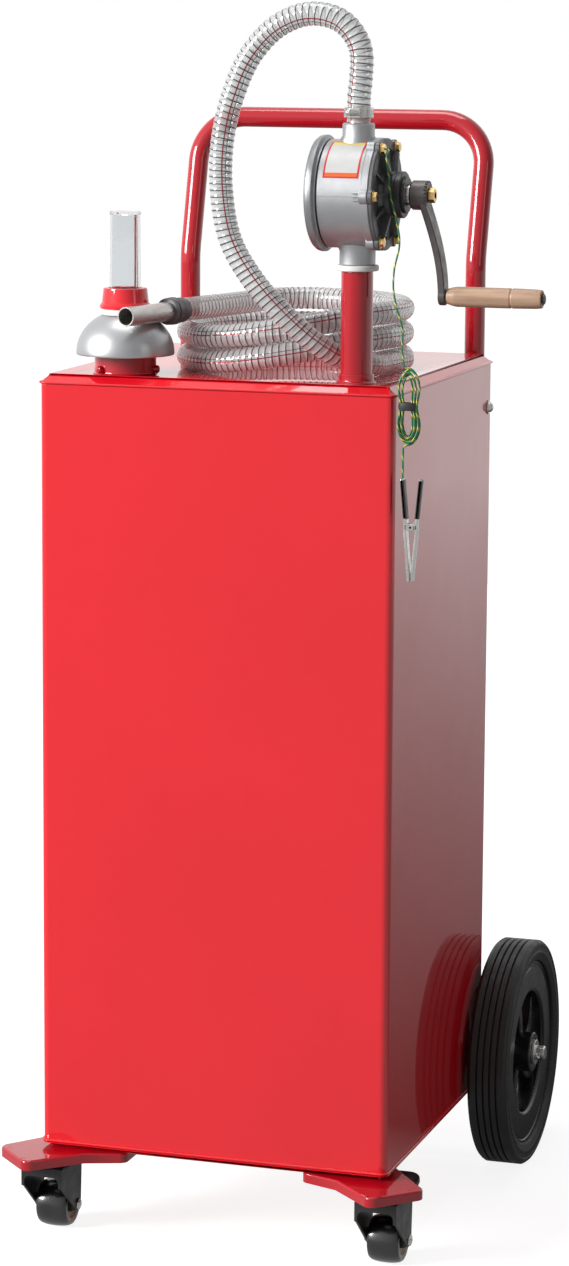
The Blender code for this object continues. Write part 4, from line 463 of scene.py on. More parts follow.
def kept(shape, name, body, material, *nodes, slot=None, smooth=35, wall=0.0, even=True):
    bmesh.ops.translate(shape, vec=tankCentre, verts=shape.verts)
    mesh = bpy.data.meshes.new(name)
    shape.to_mesh(mesh)
    shape.free()
    mesh.shade_smooth()
    mesh.set_sharp_from_angle(angle=math.radians(smooth))
    mesh.materials.append(material)
    piece = bpy.data.objects.new(name, mesh)
    stageObjects.link(piece)
    if wall:
        skin = piece.modifiers.new("wall", "SOLIDIFY")
        skin.thickness = wall
        skin.offset = -1
        rolled = piece.modifiers.new("rolledEdge", "BEVEL")
        rolled.width = wall * 0.35
        rolled.segments = 2
        rolled.limit_method = "ANGLE"
        rolled.angle_limit = math.radians(50)
    if even:
        # wide faces keep their own flat shading beside rounded edges
        weighted = piece.modifiers.new("evenShading", "WEIGHTED_NORMAL")
        weighted.keep_sharp = True
    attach(piece, body)
    if nodes:
        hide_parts(*nodes)
    return piece


def dressed(material, *nodes):
    for node in nodes:
        held = frame["nodes"][node]
        if not held.material_slots:
            held.data.materials.append(material)
        for slot in held.material_slots:
            slot.material = material


def cornerArc(last, corner, following, radius, steps):
    corner = Vector(corner)
    before, after = (Vector(last) - corner).normalized(), (Vector(following) - corner).normalized()
    half = before.angle(after) / 2
    reach = radius / math.tan(half)
    centre = corner + (before + after).normalized() * (radius / math.sin(half))
    first, end = corner + before * reach - centre, corner + after * reach - centre
    sweep = first.angle(end)
    arc = []
    for step in range(steps + 1):
        part = step / steps
        spoke = first * math.sin((1 - part) * sweep) + end * math.sin(part * sweep)
        arc.append(centre + spoke / math.sin(sweep))
    return arc


def roundedOutline(points, radii, steps):
    outline = []
    for k, (corner, radius) in enumerate(zip(points, radii)):
        following = points[(k + 1) % len(points)]
        arc = cornerArc(points[k - 1], corner, following, radius, steps) if radius else [Vector(corner)]
        outline += [tuple(point) for point in arc]
    return outline


def roundedBox(width, depth, radius):
    x, y = width / 2, depth / 2
    return roundedOutline([(-x, -y), (x, -y), (x, y), (-x, y)], [radius] * 4, 6)


def bentPath(corners, radii, steps):
    path = [Vector(corners[0])]
    for k, radius in enumerate(radii, 1):
        path += cornerArc(corners[k - 1], corners[k], corners[k + 1], radius, steps)
    return path + [Vector(corners[-1])]


def smoothPath(points, first, last, steps=12):
    points = [Vector(p) for p in points]
    spans = [(b - a).length for a, b in zip(points, points[1:])]
    slopes = [Vector(first).normalized()]
    for k in range(1, len(points) - 1):
        ahead = (points[k + 1] - points[k]) / spans[k]
        behind = (points[k] - points[k - 1]) / spans[k - 1]
        slopes.append((ahead * spans[k - 1] + behind * spans[k]).normalized())
    slopes.append(Vector(last).normalized())
    path = []
    for k, span in enumerate(spans):
        for step in range(steps):
            part = step / steps
            square, cube = part * part, part * part * part
            start = 2 * cube - 3 * square + 1
            path.append(points[k] * start + slopes[k] * span * (cube - 2 * square + part)
                        + points[k + 1] * (1 - start) + slopes[k + 1] * span * (cube - square))
    path.append(points[-1])
    return path


def evenly(path, spacing):
    lengths = [0]
    for a, b in zip(path, path[1:]):
        lengths.append(lengths[-1] + (b - a).length)
    count = max(2, round(lengths[-1] / spacing) + 1)
    even, k = [], 0
    for step in range(count):
        want = lengths[-1] * step / (count - 1)
        while k < len(path) - 2 and lengths[k + 1] < want:
            k += 1
        even.append(path[k].lerp(path[k + 1], (want - lengths[k]) / (lengths[k + 1] - lengths[k])))
    return even, lengths[-1]


pumpPlace = {"x": 0.1355, "y": -0.148, "z": 1.0936}
pumpFrame = Matrix.Translation((pumpPlace["x"], pumpPlace["y"], pumpPlace["z"]))
standpipe = {"bore": 0.0128, "collar": 0.0205, "thread": 0.01775, "outside": 0.0160, "top": 1.0175,
             "nut": 0.0215, "nutLow": 1.0178, "nutHigh": 1.0236}
boltCircle = {"radius": 0.0525, "count": 6}
coverBolt = {"head": 0.0052, "low": 0.0316, "high": 0.0354, "washer": 0.0062, "seat": 0.0313, "top": 0.0319,
             "turn": 0.4}


def boltPlaces():
    for k in range(boltCircle["count"]):
        turn = math.pi / 6 + 2 * math.pi * k / boltCircle["count"]
        yield turn, -boltCircle["radius"] * math.sin(turn), boltCircle["radius"] * math.cos(turn)


# Hose: rise from the pump, coil on the deck, lead to the nozzle, as one ribbed tube
hoseLook = {"crest": 0.0121, "valley": 0.0114, "pitch": 0.0066, "sides": 20, "spacing": 0.00150,
            "straight": 0.024, "wireShare": 0.29, "redLine": 0.556, "blackLine": 0.503, "clearAlpha": 0.56}
hoseCoil = {"x": 0.031, "y": -0.020, "radius": 0.111, "deck": 0.9063, "layer": 0.0251, "start": -8.0,
            "end": 795.0, "climbStart": 228.0, "climbEnd": 340.0}
hoseRise = (
    (0.1372, -0.148, 1.2050), (0.1350, -0.148, 1.2400), (0.1190, -0.148, 1.2605), (0.0869, -0.148, 1.2690),
    (0.0540, -0.148, 1.2585), (0.0270, -0.148, 1.2335), (0.0045, -0.149, 1.1870), (-0.0060, -0.150, 1.1400),
    (-0.0055, -0.152, 1.0900), (0.0050, -0.154, 1.0440), (0.0300, -0.156, 1.0050), (0.0585, -0.1555, 0.9745),
    (0.0840, -0.1490, 0.9510), (0.1085, -0.1350, 0.9325), (0.1225, -0.1195, 0.9248),
    (0.1335, -0.0985, 0.9205),
)
hoseLead = (
    (0.0160, 0.0946, 0.9690), (-0.0033, 0.0878, 0.9690), (-0.0184, 0.0739, 0.9690), (-0.0268, 0.0555, 0.9690),
    (-0.0353, 0.0200, 0.9690), (-0.0447, -0.0200, 0.9690), (-0.0518, -0.0500, 0.9690),
)
nozzle = {"end": (-0.0885, -0.2050, 0.9692), "yaw": 13.3, "radius": 0.00975, "wall": 0.0015,
          "length": 0.076, "collarRadius": 0.014, "collarLength": 0.028, "hoseGap": 0.0006}
nozzleFrame = Matrix.Translation(nozzle["end"]) @ Matrix.Rotation(-math.radians(nozzle["yaw"]), 4, "Z")
pumpOutlet = Vector((pumpPlace["x"], pumpPlace["y"], pumpPlace["z"] + 0.0697))


def coilPoint(degrees):
    lap = math.floor(degrees / 360)
    part = (degrees - 360 * lap - hoseCoil["climbStart"]) / (hoseCoil["climbEnd"] - hoseCoil["climbStart"])
    part = min(max(part, 0), 1)
    rise = lap + part * part * (3 - 2 * part)
    turn = math.radians(degrees)
    height = hoseCoil["deck"] + hoseLook["crest"] + hoseCoil["layer"] * max(rise, 0)
    return Vector((hoseCoil["x"] + hoseCoil["radius"] * math.cos(turn),
                   hoseCoil["y"] + hoseCoil["radius"] * math.sin(turn), height))


def hosePath():
    up = Vector((0, 0, 1))
    straight = hoseLook["straight"]
    start, end = coilPoint(hoseCoil["start"]), coilPoint(hoseCoil["end"])
    ways = []
    for degrees in (hoseCoil["start"], hoseCoil["end"]):
        turn = math.radians(degrees)
        ways.append(Vector((-math.sin(turn), math.cos(turn), 0)))
    wayIn, wayOut = ways
    rise = [pumpOutlet + up * straight] + [Vector(p) for p in hoseRise] + [start - wayIn * straight]
    path = [pumpOutlet] + smoothPath(rise, up, wayIn) + [start, start + wayIn * straight]
    skip = 2 * math.degrees(straight / hoseCoil["radius"])
    degrees = hoseCoil["start"] + skip
    while degrees < hoseCoil["end"] - skip:
        path.append(coilPoint(degrees))
        degrees += 2
    tip = nozzleFrame @ Vector((0, nozzle["length"] + nozzle["collarLength"] + nozzle["hoseGap"], 0))
    toward = (nozzleFrame.to_3x3() @ Vector((0, -1, 0))).normalized()
    lead = [end + wayOut * straight] + [Vector(p) for p in hoseLead] + [tip - toward * straight]
    return path + [end - wayOut * straight, end] + smoothPath(lead, wayOut, toward) + [tip]


def makeHose():
    path, length = evenly(hosePath(), hoseLook["spacing"])
    middle = (hoseLook["crest"] + hoseLook["valley"]) / 2
    swing = (hoseLook["crest"] - hoseLook["valley"]) / 2

    def radiusAt(run, turn):
        return middle - swing * math.cos(2 * math.pi * (run / hoseLook["pitch"] + turn))
    tube = kept(swept(path, radiusAt, hoseLook["sides"]), "clearHose", "base", makeHosePlastic(),
                "hose_riser", "hose_coil", "hose_lead", smooth=80, even=False)
    steel = nozzle["radius"]
    bore = steel - nozzle["wall"]
    spout = turned([(bore, 0.0004), (bore + 0.0004, 0), (steel - 0.0004, 0), (steel, 0.0004),
                    (steel, nozzle["length"]), (bore, nozzle["length"])], 48, "Y")
    spout = kept(placed(spout, nozzleFrame), "nozzleTube", "base", brushedSteel, "nozzle_tube")
    low = nozzle["length"] + fitGap
    high = low + nozzle["collarLength"]
    wide = nozzle["collarRadius"]
    collar = [(bore, low), *near(wide, low, (-12, 0), (-4, 6), (-4, 45), (-20, 50), (-20, 60), (0, 66)),
              (wide, low + 0.0125), (wide - 0.0012, low + 0.0131),
              *near(wide, high, (-12, -30), (-18, -24), (-18, 0)), (bore, high)]
    collar = kept(placed(turned(collar, 48, "Y"), nozzleFrame), "nozzleCollar", "base", darkCasting,
                  "nozzle_collar")
    print(f"hose {length:.3f} m")


makeHose()

# Earth wire: run down from a cover bolt, tied hank, tail, spring clip
wireLook = {"radius": 0.0010, "sides": 10, "spacing": 0.0022, "pitch": 0.013, "yellowShare": 0.26}
wireHank = {"x": 0.2037, "y": -0.1980, "z": 0.890, "halfWidth": 0.016, "halfHeight": 0.038, "step": 0.0044,
            "layer": 0.0026, "turns": 4.5, "crossing": 0.5, "waistShare": 0.42, "waistReach": 0.016}
wireRun = (
    (0.1740, -0.1805, 1.1330), (0.1758, -0.1805, 1.1150), (0.1780, -0.1810, 1.0960),
    (0.1850, -0.1830, 1.0720),
    (0.1893, -0.1850, 1.0480), (0.1850, -0.1880, 1.0220), (0.1853, -0.1910, 1.0040),
    (0.1885, -0.1935, 0.9900),
    (0.1965, -0.1960, 0.9650), (0.1975, -0.1975, 0.9400),
)
wireTail = ((0.1998, -0.1966, 0.8505), (0.1988, -0.1972, 0.8430), (0.1990, -0.1980, 0.8330))
clip = {"x": 0.2085, "top": 0.8190, "handle": 0.048, "jaw": 0.054, "sheet": 0.0030, "width": 0.0092,
        "spread": 0.0110, "neck": 0.0041, "knuckle": 0.006, "ear": 0.0032, "cheek": 0.0012, "skin": 0.0006}


def hankPoint(turns):
    half = wireHank["turns"] / 2
    inward = half - abs(turns - half)
    climb = min(max((turns - half) / wireHank["crossing"], -0.5), 0.5)
    angle = 2 * math.pi * turns
    height = (wireHank["halfHeight"] - wireHank["step"] * inward) * math.cos(angle)
    waist = 1 - wireHank["waistShare"] * math.exp(-((height / wireHank["waistReach"]) ** 2))
    across = (wireHank["halfWidth"] - wireHank["step"] * inward) * math.sin(angle) * waist
    return Vector((wireHank["x"] + across, wireHank["y"] + wireHank["layer"] * climb, wireHank["z"] + height))


def makeWire():
    hank = [hankPoint(wireHank["turns"] * k / 216) for k in range(217)]
    first, last = (hank[1] - hank[0]).normalized(), (hank[-1] - hank[-2]).normalized()
    _, y, z = next(boltPlaces())
    bolt = pumpFrame @ Vector((coverBolt["high"] + fitGap, y, z))
    out = (pumpFrame.to_3x3() @ Vector((1, 0, 0))).normalized()
    reach = 2 * wireLook["radius"]
    upper = [bolt + out * reach] + [Vector(p) for p in wireRun] + [hank[0] - first * reach]
    down = Vector((0, 0, -1))
    end = Vector((clip["x"] - clip["spread"] + clip["sheet"] / 2, wireHank["y"], clip["top"] + fitGap))
    tail = [hank[-1] + last * reach] + [Vector(p) for p in wireTail] + [end - down * reach]
    whole = [bolt] + smoothPath(upper, out, first) + hank + smoothPath(tail, last, down) + [end]
    path, length = evenly(whole, wireLook["spacing"])
    wire = kept(swept(path, lambda run, turn: wireLook["radius"], wireLook["sides"]), "earthWire", "base",
                makeEarthWirePlastic(), "wire_upper", "wire_hank", "wire_tail", smooth=80, even=False)
    return wire, [tankCentre + p for p in path[:-1:3] + path[-1:]], length, tankCentre + bolt


def clipLever(side, half):
    # one lever of the clip from its outline seen from the front, side is -1 or 1
    neck, sheet = clip["neck"], clip["sheet"]
    outline = [(clip["spread"], clip["handle"] * 0.98), (neck + sheet, clip["knuckle"]),
               (neck + sheet, -clip["knuckle"]), (sheet, -clip["jaw"]), (0.0002, -clip["jaw"]),
               (0.0002, -clip["jaw"] + clip["knuckle"]), (neck, -clip["knuckle"]), (neck, clip["knuckle"]),
               (clip["spread"] - sheet, clip["handle"])]
    shape = plate([(side * x, z) for x, z in outline], -half, half, "Y")
    return softened(shape, 0.0006, 2, 25)


def clipSleeve(side, half):
    # dipped plastic on the lever's handle
    neck, sheet, skin = clip["neck"], clip["sheet"], clip["skin"]
    low, high = clip["knuckle"] * 1.3, clip["handle"]
    start = neck + (clip["spread"] - sheet - neck) * (low - clip["knuckle"]) / (high - clip["knuckle"])
    outline = [(start - skin, low), (start + sheet + skin * 0.6, low),
               (clip["spread"] + skin * 0.5, high * 0.97), (clip["spread"] - sheet * 0.5, high),
               (clip["spread"] - sheet - skin, high * 0.97)]
    shape = plate([(side * x, z) for x, z in outline], -half, half, "Y")
    return softened(shape, 0.0009, 3, 25)


def makeClip():
    place = (clip["x"], wireHank["y"], clip["top"] - clip["handle"])
    half = clip["width"] / 2
    inner = half - clip["cheek"] - fitGap
    ear, neck, sheet = clip["ear"], clip["neck"], clip["sheet"]
    cheeks = []
    for side in (-1, 1):
        ends = sorted((side * (half - clip["cheek"]), side * half))
        cheeks.append(softened(block((-neck - sheet / 2, ends[0], -ear), (ear, ends[1], ear)), 0.0003, 1))
    pin = bar(0.0015, -half, half, 16, "Y", 0.0003)
    fixed = joined(clipLever(-1, half), pin, *cheeks)
    kept(moved(fixed, *place), "clipFixedLever", "base", zincSteel, "clip_fixed")
    ring = turned([(0.0018, -inner), (0.0034, -inner), (0.0034, inner), (0.0018, inner)], 20, "Y")
    web = block((0.0018, -inner, -ear / 2), (neck + sheet / 2, inner, ear / 2))
    jaw = joined(clipLever(1, inner), ring, web)
    kept(moved(jaw, *place), "clipMovingLever", "jaw", zincSteel, "clip_jaw")
    kept(moved(clipSleeve(-1, half), *place), "clipSleeveFixed", "base", blackPlastic)
    kept(moved(clipSleeve(1, inner), *place), "clipSleeveMoving", "jaw", blackPlastic)


def makeTie():
    tie = turned([(0.0052, -0.004), (0.0066, -0.0035), (0.0070, 0), (0.0066, 0.0035), (0.0052, 0.004)], 24)
    bmesh.ops.scale(tie, vec=(1.45, 0.62, 1), verts=tie.verts)
    return kept(moved(tie, wireHank["x"], wireHank["y"], wireHank["z"]), "wireTie", "base", blackPlastic)


earthWire, wirePath, wireLength, wireStart = makeWire()
makeClip()
makeTie()
print(f"earth wire {wireLength:.3f} m")


# Tank: folded shell with a pressed top and bottom, welded along the seams
tank = {"width": 0.375, "depth": 0.380, "low": 0.101, "high": 0.899, "corner": 0.008, "sheet": 0.0015,
        "hem": 0.0008, "bead": 0.0013, "border": 0.006, "slope": 0.010, "rise": 0.007, "drop": 0.006}
weld = {"drop": 0.0019, "sunk": 0.0006, "rise": 0.0014,
        "runs": ((-0.181, -0.160), (0.148, 0.176), (0.120, 0.130), (-0.150, -0.142))}
filler = {"x": -0.1125, "y": -0.140, "neck": 0.0315, "wall": 0.0025, "top": 0.9253, "lugs": 3,
          "lug": 0.0040, "lugRise": 0.005}
deck = tank["high"] + tank["rise"]
tankEdge = roundedBox(tank["width"] + 2 * tank["hem"], tank["depth"] + 2 * tank["hem"], tank["corner"])


def pressedPanel(seat, press, holes):
    # a sheet whose middle is pressed up, with holes left in the pressed face
    shape = bmesh.new()
    shape.faces.new([shape.verts.new((x, y, seat)) for x, y in tankEdge])
    for inset in (tank["border"], tank["slope"]):
        middle = max(shape.faces, key=lambda f: f.calc_area())
        bmesh.ops.inset_region(shape, faces=[middle], thickness=inset, use_boundary=True,
                               use_even_offset=True)
    middle = max(shape.faces, key=lambda f: f.calc_area())
    bmesh.ops.translate(shape, verts=middle.verts, vec=(0, 0, press))
    rim = list(middle.edges)
    creases = [edge for edge in shape.edges if len(edge.link_faces) == 2 and edge.calc_face_angle() > 0.3]
    shape.faces.remove(middle)
    for x, y, radius in holes:
        circle = bmesh.ops.create_circle(shape, segments=48, radius=radius,
                                         matrix=Matrix.Translation((x, y, seat + press)))["verts"]
        rim += list({edge for vert in circle for edge in vert.link_edges})
    bmesh.ops.triangle_fill(shape, edges=rim, use_beauty=True)
    bmesh.ops.recalc_face_normals(shape, faces=shape.faces)
    creases = [edge for edge in creases if edge.is_valid]
    bevelled(shape, creases, 0.0022, 3)
    for face in shape.faces:
        face.normal_update()
    if sum(face.normal.z * face.calc_area() for face in shape.faces) * press < 0:
        bmesh.ops.reverse_faces(shape, faces=shape.faces)
    return shape


def weldBead(seams, size, name):
    # short overlapping drops of weld along a seam
    random.seed(len(name) + len(seams))
    drops = []
    for start, end in seams:
        start, end = Vector(start), Vector(end)
        count = max(2, round((end - start).length / (size * 0.9)))
        for k in range(count):
            drop = bmesh.new()
            bmesh.ops.create_icosphere(drop, subdivisions=2, radius=size * random.uniform(0.8, 1.1))
            bmesh.ops.scale(drop, vec=(1.25, 0.8, 0.75), verts=drop.verts)
            here = start.lerp(end, k / (count - 1))
            moved(drop, here.x, here.y, here.z + random.uniform(-0.0003, 0.0003))
            drops.append(drop)
    kept(joined(*drops), name, "base", redEnamel)


def makeTank():
    outline = roundedBox(tank["width"], tank["depth"], tank["corner"])
    low, high = tank["low"] + tank["sheet"] + fitGap, tank["high"] - tank["sheet"] - fitGap
    shell = plate(outline, low, high)
    caps = [face for face in shell.faces if abs(face.normal.z) > 0.9]
    bmesh.ops.delete(shell, geom=caps, context="FACES_ONLY")
    kept(shell, "tankShell", "base", redEnamel, "tank_shell", wall=tank["sheet"])
    holes = [(filler["x"], filler["y"], filler["neck"] - filler["wall"]),
             (pumpPlace["x"], pumpPlace["y"], standpipe["bore"])]
    top = pressedPanel(tank["high"], tank["rise"], holes)
    kept(top, "tankTop", "base", redEnamel, "tank_top", wall=tank["sheet"], smooth=50)
    bottom = pressedPanel(tank["low"], -tank["drop"], [])
    kept(bottom, "tankBottom", "base", redEnamel, "tank_bottom", wall=tank["sheet"], smooth=50)
    y, z = -tank["depth"] / 2 + weld["sunk"], tank["low"] + weld["rise"]
    weldBead([((left, y, z), (right, y, z)) for left, right in weld["runs"]], weld["drop"], "frontSeamWelds")
    for name, z in (("bottomHem", tank["low"] + tank["bead"]), ("topHem", tank["high"] - tank["bead"] * 0.2)):
        loop = [Vector((x, y, z)) for x, y in tankEdge]
        kept(swept(loop + loop[:1], lambda run, turn: tank["bead"], 12), name, "base", redEnamel,
             smooth=80, even=False)


makeTank()
print("tank made")


# Filler: neck with lugs, cap with its dome and plug, sight gauge
cap = {"seat": 0.9256, "dome": 0.050, "height": 0.040, "lip": 0.002, "sheet": 0.0014, "topShare": 0.48,
       "plugBore": 0.0144, "plugDepth": 0.012, "sleeve": 0.021, "shoulder": 0.0335}
gauge = {"whiteRadius": 0.025, "white": (0.9659, 0.9719), "redRadius": 0.02625, "redTop": 0.0225,
         "red": (0.9722, 0.9932), "lip": 0.004, "sight": 0.0164, "sightTop": 0.0152, "wall": 0.0020,
         "high": 1.070, "rod": 0.0009, "rodOffset": 0.0105, "float": 0.018, "floatLow": 0.842,
         "floatHigh": 0.876}


def onFiller(shape, *words, **settings):
    return kept(moved(shape, filler["x"], filler["y"]), *words, **settings)


def makeNeck():
    low, high = deck + fitGap, filler["top"]
    outer, bore = filler["neck"], filler["neck"] - filler["wall"]
    neck = [(bore, low), *near(outer, low, (16, 0), (6, 12), (0, 26)),
            *near(outer, high, (0, -12), (-8, -2)), *near(bore, high, (8, 0), (0, -8))]
    lugs = []
    for k in range(filler["lugs"]):
        lug = turned([(0, outer - 0.001), *near(filler["lug"], outer, (0, -10), (0, 35)),
                      (0.0032, outer + 0.0047), (0.0016, outer + 0.0050), (0, outer + 0.0046)], 24, "X")
        lugs.append(spun(moved(lug, z=low + filler["lugRise"]), 2 * math.pi * k / filler["lugs"], "Z"))
    onFiller(joined(turned(neck, 96), *lugs), "fillerNeck", "base", shadedTubeEnamel, "filler_neck", smooth=50)


def makeCap():
    seat, spring = cap["seat"], cap["seat"] + cap["lip"]
    dome, bore, plug = cap["dome"], filler["neck"] - filler["wall"], seat - cap["plugDepth"]
    crown = (cap["height"] - cap["lip"]) / math.sqrt(1 - cap["topShare"] ** 2)
    flare = math.acos(cap["topShare"])
    inner = dome - cap["sheet"]

    def arch(radius, rise):
        turns = [flare * k / 18 for k in range(19)]
        return [(radius * math.cos(turn), spring + rise * math.sin(turn)) for turn in turns]
    outside, inside = arch(dome, crown), arch(inner, crown - cap["sheet"])
    profile = [(cap["plugBore"], plug), *near(bore, plug, (-14, 0), (-6, 10)), (bore - 0.0006, seat),
               *near(cap["shoulder"], seat, (0, 0), (0, 25)), (cap["sleeve"], seat + 0.0025),
               (cap["sleeve"], inside[-1][1]), *inside[::-1], (inner + 0.0002, seat + 0.0003),
               *near(dome, seat, (-6, 0), (-1, 5), (-1, 13)), *outside,
               (cap["plugBore"], seat + cap["height"])]
    onFiller(turned(profile, 96), "capDome", "cap", silverPaint, "cap_dome", smooth=50)


def makeGauge():
    hold = gauge["sight"] + fitGap
    wide, (low, high) = gauge["whiteRadius"], gauge["white"]
    ring = turned([(hold, low), *near(wide, low, (-8, 0), (0, 10)), *near(wide, high, (0, -10), (-8, 0)),
                   (hold, high)], 80)
    onFiller(ring, "gaugeBaseRing", "cap", whitePlastic, "gauge_base")
    wide, (low, high) = gauge["redRadius"], gauge["red"]
    collar = [(hold, low), *near(wide, low, (-8, 0), (0, 8)),
              *near(wide, low + gauge["lip"], (0, -8), (-5, 0)),
              (gauge["redTop"] + 0.0014, low + gauge["lip"] + 0.0024),
              *near(gauge["redTop"], high, (0, -18), (-4, -6), (-14, 0)),
              *near(hold, high, (12, 0), (0, -10))]
    onFiller(turned(collar, 80), "gaugeCollar", "cap", redEnamel, "gauge_collar", smooth=28)
    outer, small = gauge["sight"], gauge["sightTop"]
    wall, low, high = gauge["wall"], gauge["white"][0], gauge["high"]
    sight = [(0, high - wall), *near(small - wall, high - wall, (-6, 0), (0, -6)), (outer - wall, low),
             (outer, low), *near(small, high, (0, -30), (8, -22), (8, -6), (3, 0)), (0, high)]
    onFiller(turned(sight, 80), "sightTube", "cap", sightPlastic, "gauge_tube")
    stem = bar(gauge["rod"], gauge["floatHigh"] - 0.002, high - wall - 0.0004, 16)
    stem = moved(stem, gauge["rodOffset"])
    wide, low, high = gauge["float"], gauge["floatLow"], gauge["floatHigh"]
    cork = turned([(0, low), *near(wide, low, (-40, 0), (-12, 12), (0, 40)),
                   *near(wide, high, (0, -40), (-12, -12), (-40, 0)), (0, high)], 48)
    onFiller(cork, "gaugeFloat", "gauge", turnedWood, "gauge_rod")
    onFiller(stem, "gaugeRod", "gauge", rodPlastic)


makeNeck()
makeCap()
makeGauge()
print("filler made")


# Standpipe and pump
pump = {"body": 0.0535, "left": -0.028, "right": 0.026, "bore": 0.042, "flange": 0.0555,
        "flangeWidth": 0.0074, "boss": 0.0075, "stubLow": 0.018, "stubHigh": 0.016, "rear": 0.0575,
        "rearLeft": -0.0403, "rearRight": -0.0283, "cover": 0.0552, "coverLeft": 0.0263,
        "coverRight": 0.0303, "hub": 0.0225, "hubRight": 0.0380, "gland": 0.023, "glandStep": 0.018,
        "glandLeft": 0.0383, "glandRight": 0.0513, "neck": 0.010, "stubBottom": -0.0697, "stubTop": 0.0694}


def makeStandpipe():
    x, y, low = pumpPlace["x"], pumpPlace["y"], deck + fitGap
    bore, collar, thread = standpipe["bore"], standpipe["collar"], standpipe["thread"]
    outside, top, nut = standpipe["outside"], standpipe["top"], standpipe["nut"]
    pipe = [(bore, low), *near(collar, low, (0, 0), (-9, 14), (-25, 24)),
            *near(thread, low, (0, 34), (0, 82)), *near(outside, low, (10, 92), (0, 96)),
            *near(outside, top, (0, -10), (-5, 0)), (bore, top)]
    kept(moved(turned(pipe, 72), x, y), "standpipe", "base", shadedTubeEnamel, "standpipe", smooth=30)
    low, high = standpipe["nutLow"], standpipe["nutHigh"]
    ring = [(bore, low), *near(nut, low, (-11, 0), (-3, 6), (0, 14)),
            *near(nut, high, (0, -14), (-3, -6), (-11, 0), (-25, 0)), (bore, high)]
    kept(moved(turned(ring, 72), x, y), "ringNut", "base", whitePlastic, "ring_nut", slot="zinc_steel")


def onPump(shape, *words, **settings):
    return kept(placed(shape, pumpFrame), *words, **settings)


def makePumpBody():
    wide, left, right = pump["body"], pump["left"], pump["right"]
    step = right - pump["flangeWidth"]
    outer = [(pump["bore"], left), *near(wide, left, (-15, 0), (0, 15)),
             *near(wide, step, (0, -12), (8, -3)), *near(pump["flange"], step, (-8, 0), (0, 8)),
             *near(pump["flange"], right, (0, -8), (-8, 0)), (pump["bore"], right)]
    parts = [turned(outer, 128, "X")]
    for _, y, z in boltPlaces():
        parts.append(moved(bar(pump["boss"], step - 0.0010, right, 28, "X", 0.0007), 0, y, z))
    bottom, top = pump["stubBottom"], pump["stubTop"]
    lowStub = [(0, bottom), *near(pump["stubLow"], bottom, (-6, 0), (0, 6), (0, 137), (30, 197), (30, 247))]
    highStub = [*near(pump["stubHigh"], top, (35, -244), (30, -174), (0, -124), (0, -14), (-10, 0)), (0, top)]
    parts += [turned(lowStub, 64), turned(highStub, 64)]
    parting = block((left + 0.002, -wide - 0.00035, -0.0006), (step, -wide + 0.003, 0.0006))
    parts.append(softened(parting, 0.0003, 1))
    for rise in (-0.0035, 0, 0.0035):
        rib = block((step - 0.0085, -wide - 0.0022, rise - 0.0008), (step, -wide + 0.004, rise + 0.0008))
        parts.append(softened(rib, 0.0004, 1))
    onPump(joined(*parts), "pumpBody", "base", castAluminium, "pump_body")
    wide, left, right = pump["rear"], pump["rearLeft"], pump["rearRight"]
    rear = [(0, left + 0.0010), (0.030, left + 0.0010), (0.032, left),
            *near(wide, left, (-50, 0), (-22, 10), (-6, 30), (0, 52)),
            *near(wide, right, (0, -36), (-8, -28), (-30, -14), (-34, 0)), (0, right)]
    onPump(turned(rear, 128, "X"), "rearCover", "base", greyCasting, "rear_cover", smooth=28)


def makeFrontCover():
    left, right, hub = pump["coverLeft"], pump["coverRight"], pump["hub"]
    disc = [(pump["neck"] + 0.0006, left), *near(pump["cover"], left, (-6, 0), (0, 6)),
            *near(pump["cover"], right, (0, -12), (-12, 0)), (0.0455, right), (0.0435, right - 0.0020),
            *near(hub, right, (35, -20), (0, 10)), *near(hub, pump["hubRight"], (0, -10), (-10, 0)),
            (pump["neck"] + 0.0006, pump["hubRight"])]
    parts = [turned(disc, 128, "X")]
    high = pump["hubRight"] - 0.0004
    for turn, y, z in boltPlaces():
        parts.append(moved(bar(pump["boss"], left + 0.0002, right + 0.0008, 28, "X", 0.0006), 0, y, z))
        # a rib falls from the hub to each bolt boss, with a lower web between two ribs
        rib = [(right - 0.003, 0.016), (high, 0.016), (high, 0.0245), (right + 0.0052, 0.0465),
               (right - 0.003, 0.0468)]
        rib = softened(plate(rib, -0.0020, 0.0020, "Y"), 0.0006, 2)
        parts.append(spun(rib, turn))
        web = [(right - 0.003, 0.016), (high - 0.004, 0.016), (high - 0.004, 0.0240), (right, 0.0452),
               (right - 0.003, 0.0468)]
        web = softened(plate(web, -0.0010, 0.0010, "Y"), 0.0004, 1)
        parts.append(spun(web, turn + math.pi / 6))
    onPump(joined(*parts), "frontCover", "base", darkCasting, "front_cover")


def makeCoverBolts():
    heads, nodes = [], []
    for k, (_, y, z) in enumerate(boltPlaces()):
        head = spun(hexagon(coverBolt["head"], coverBolt["low"], coverBolt["high"]), coverBolt["turn"] * k)
        washer = bar(coverBolt["washer"], coverBolt["seat"], coverBolt["top"], 24, "X", 0.0002)
        heads.append(moved(joined(head, washer), 0, y, z))
        nodes.append(f"cover_bolt_{k + 1}")
    onPump(joined(*heads), "coverBolts", "base", yellowBrass, *nodes)


def makeGland():
    neck, left, right = pump["neck"] + 0.0004, pump["glandLeft"], pump["glandRight"]
    gland = [(neck, left),
             *near(pump["gland"], left, (-8, 0), (0, 8), (0, 37), (-7, 41), (-7, 47), (0, 51), (0, 93), (-8, 101)),
             *near(pump["glandStep"], right, (0, -29), (0, -6), (-6, 0)),
             *near(neck, right, (20, 0), (0, -4))]
    onPump(turned(gland, 96, "X"), "gland", "base", blackPlastic, "gland", smooth=28)


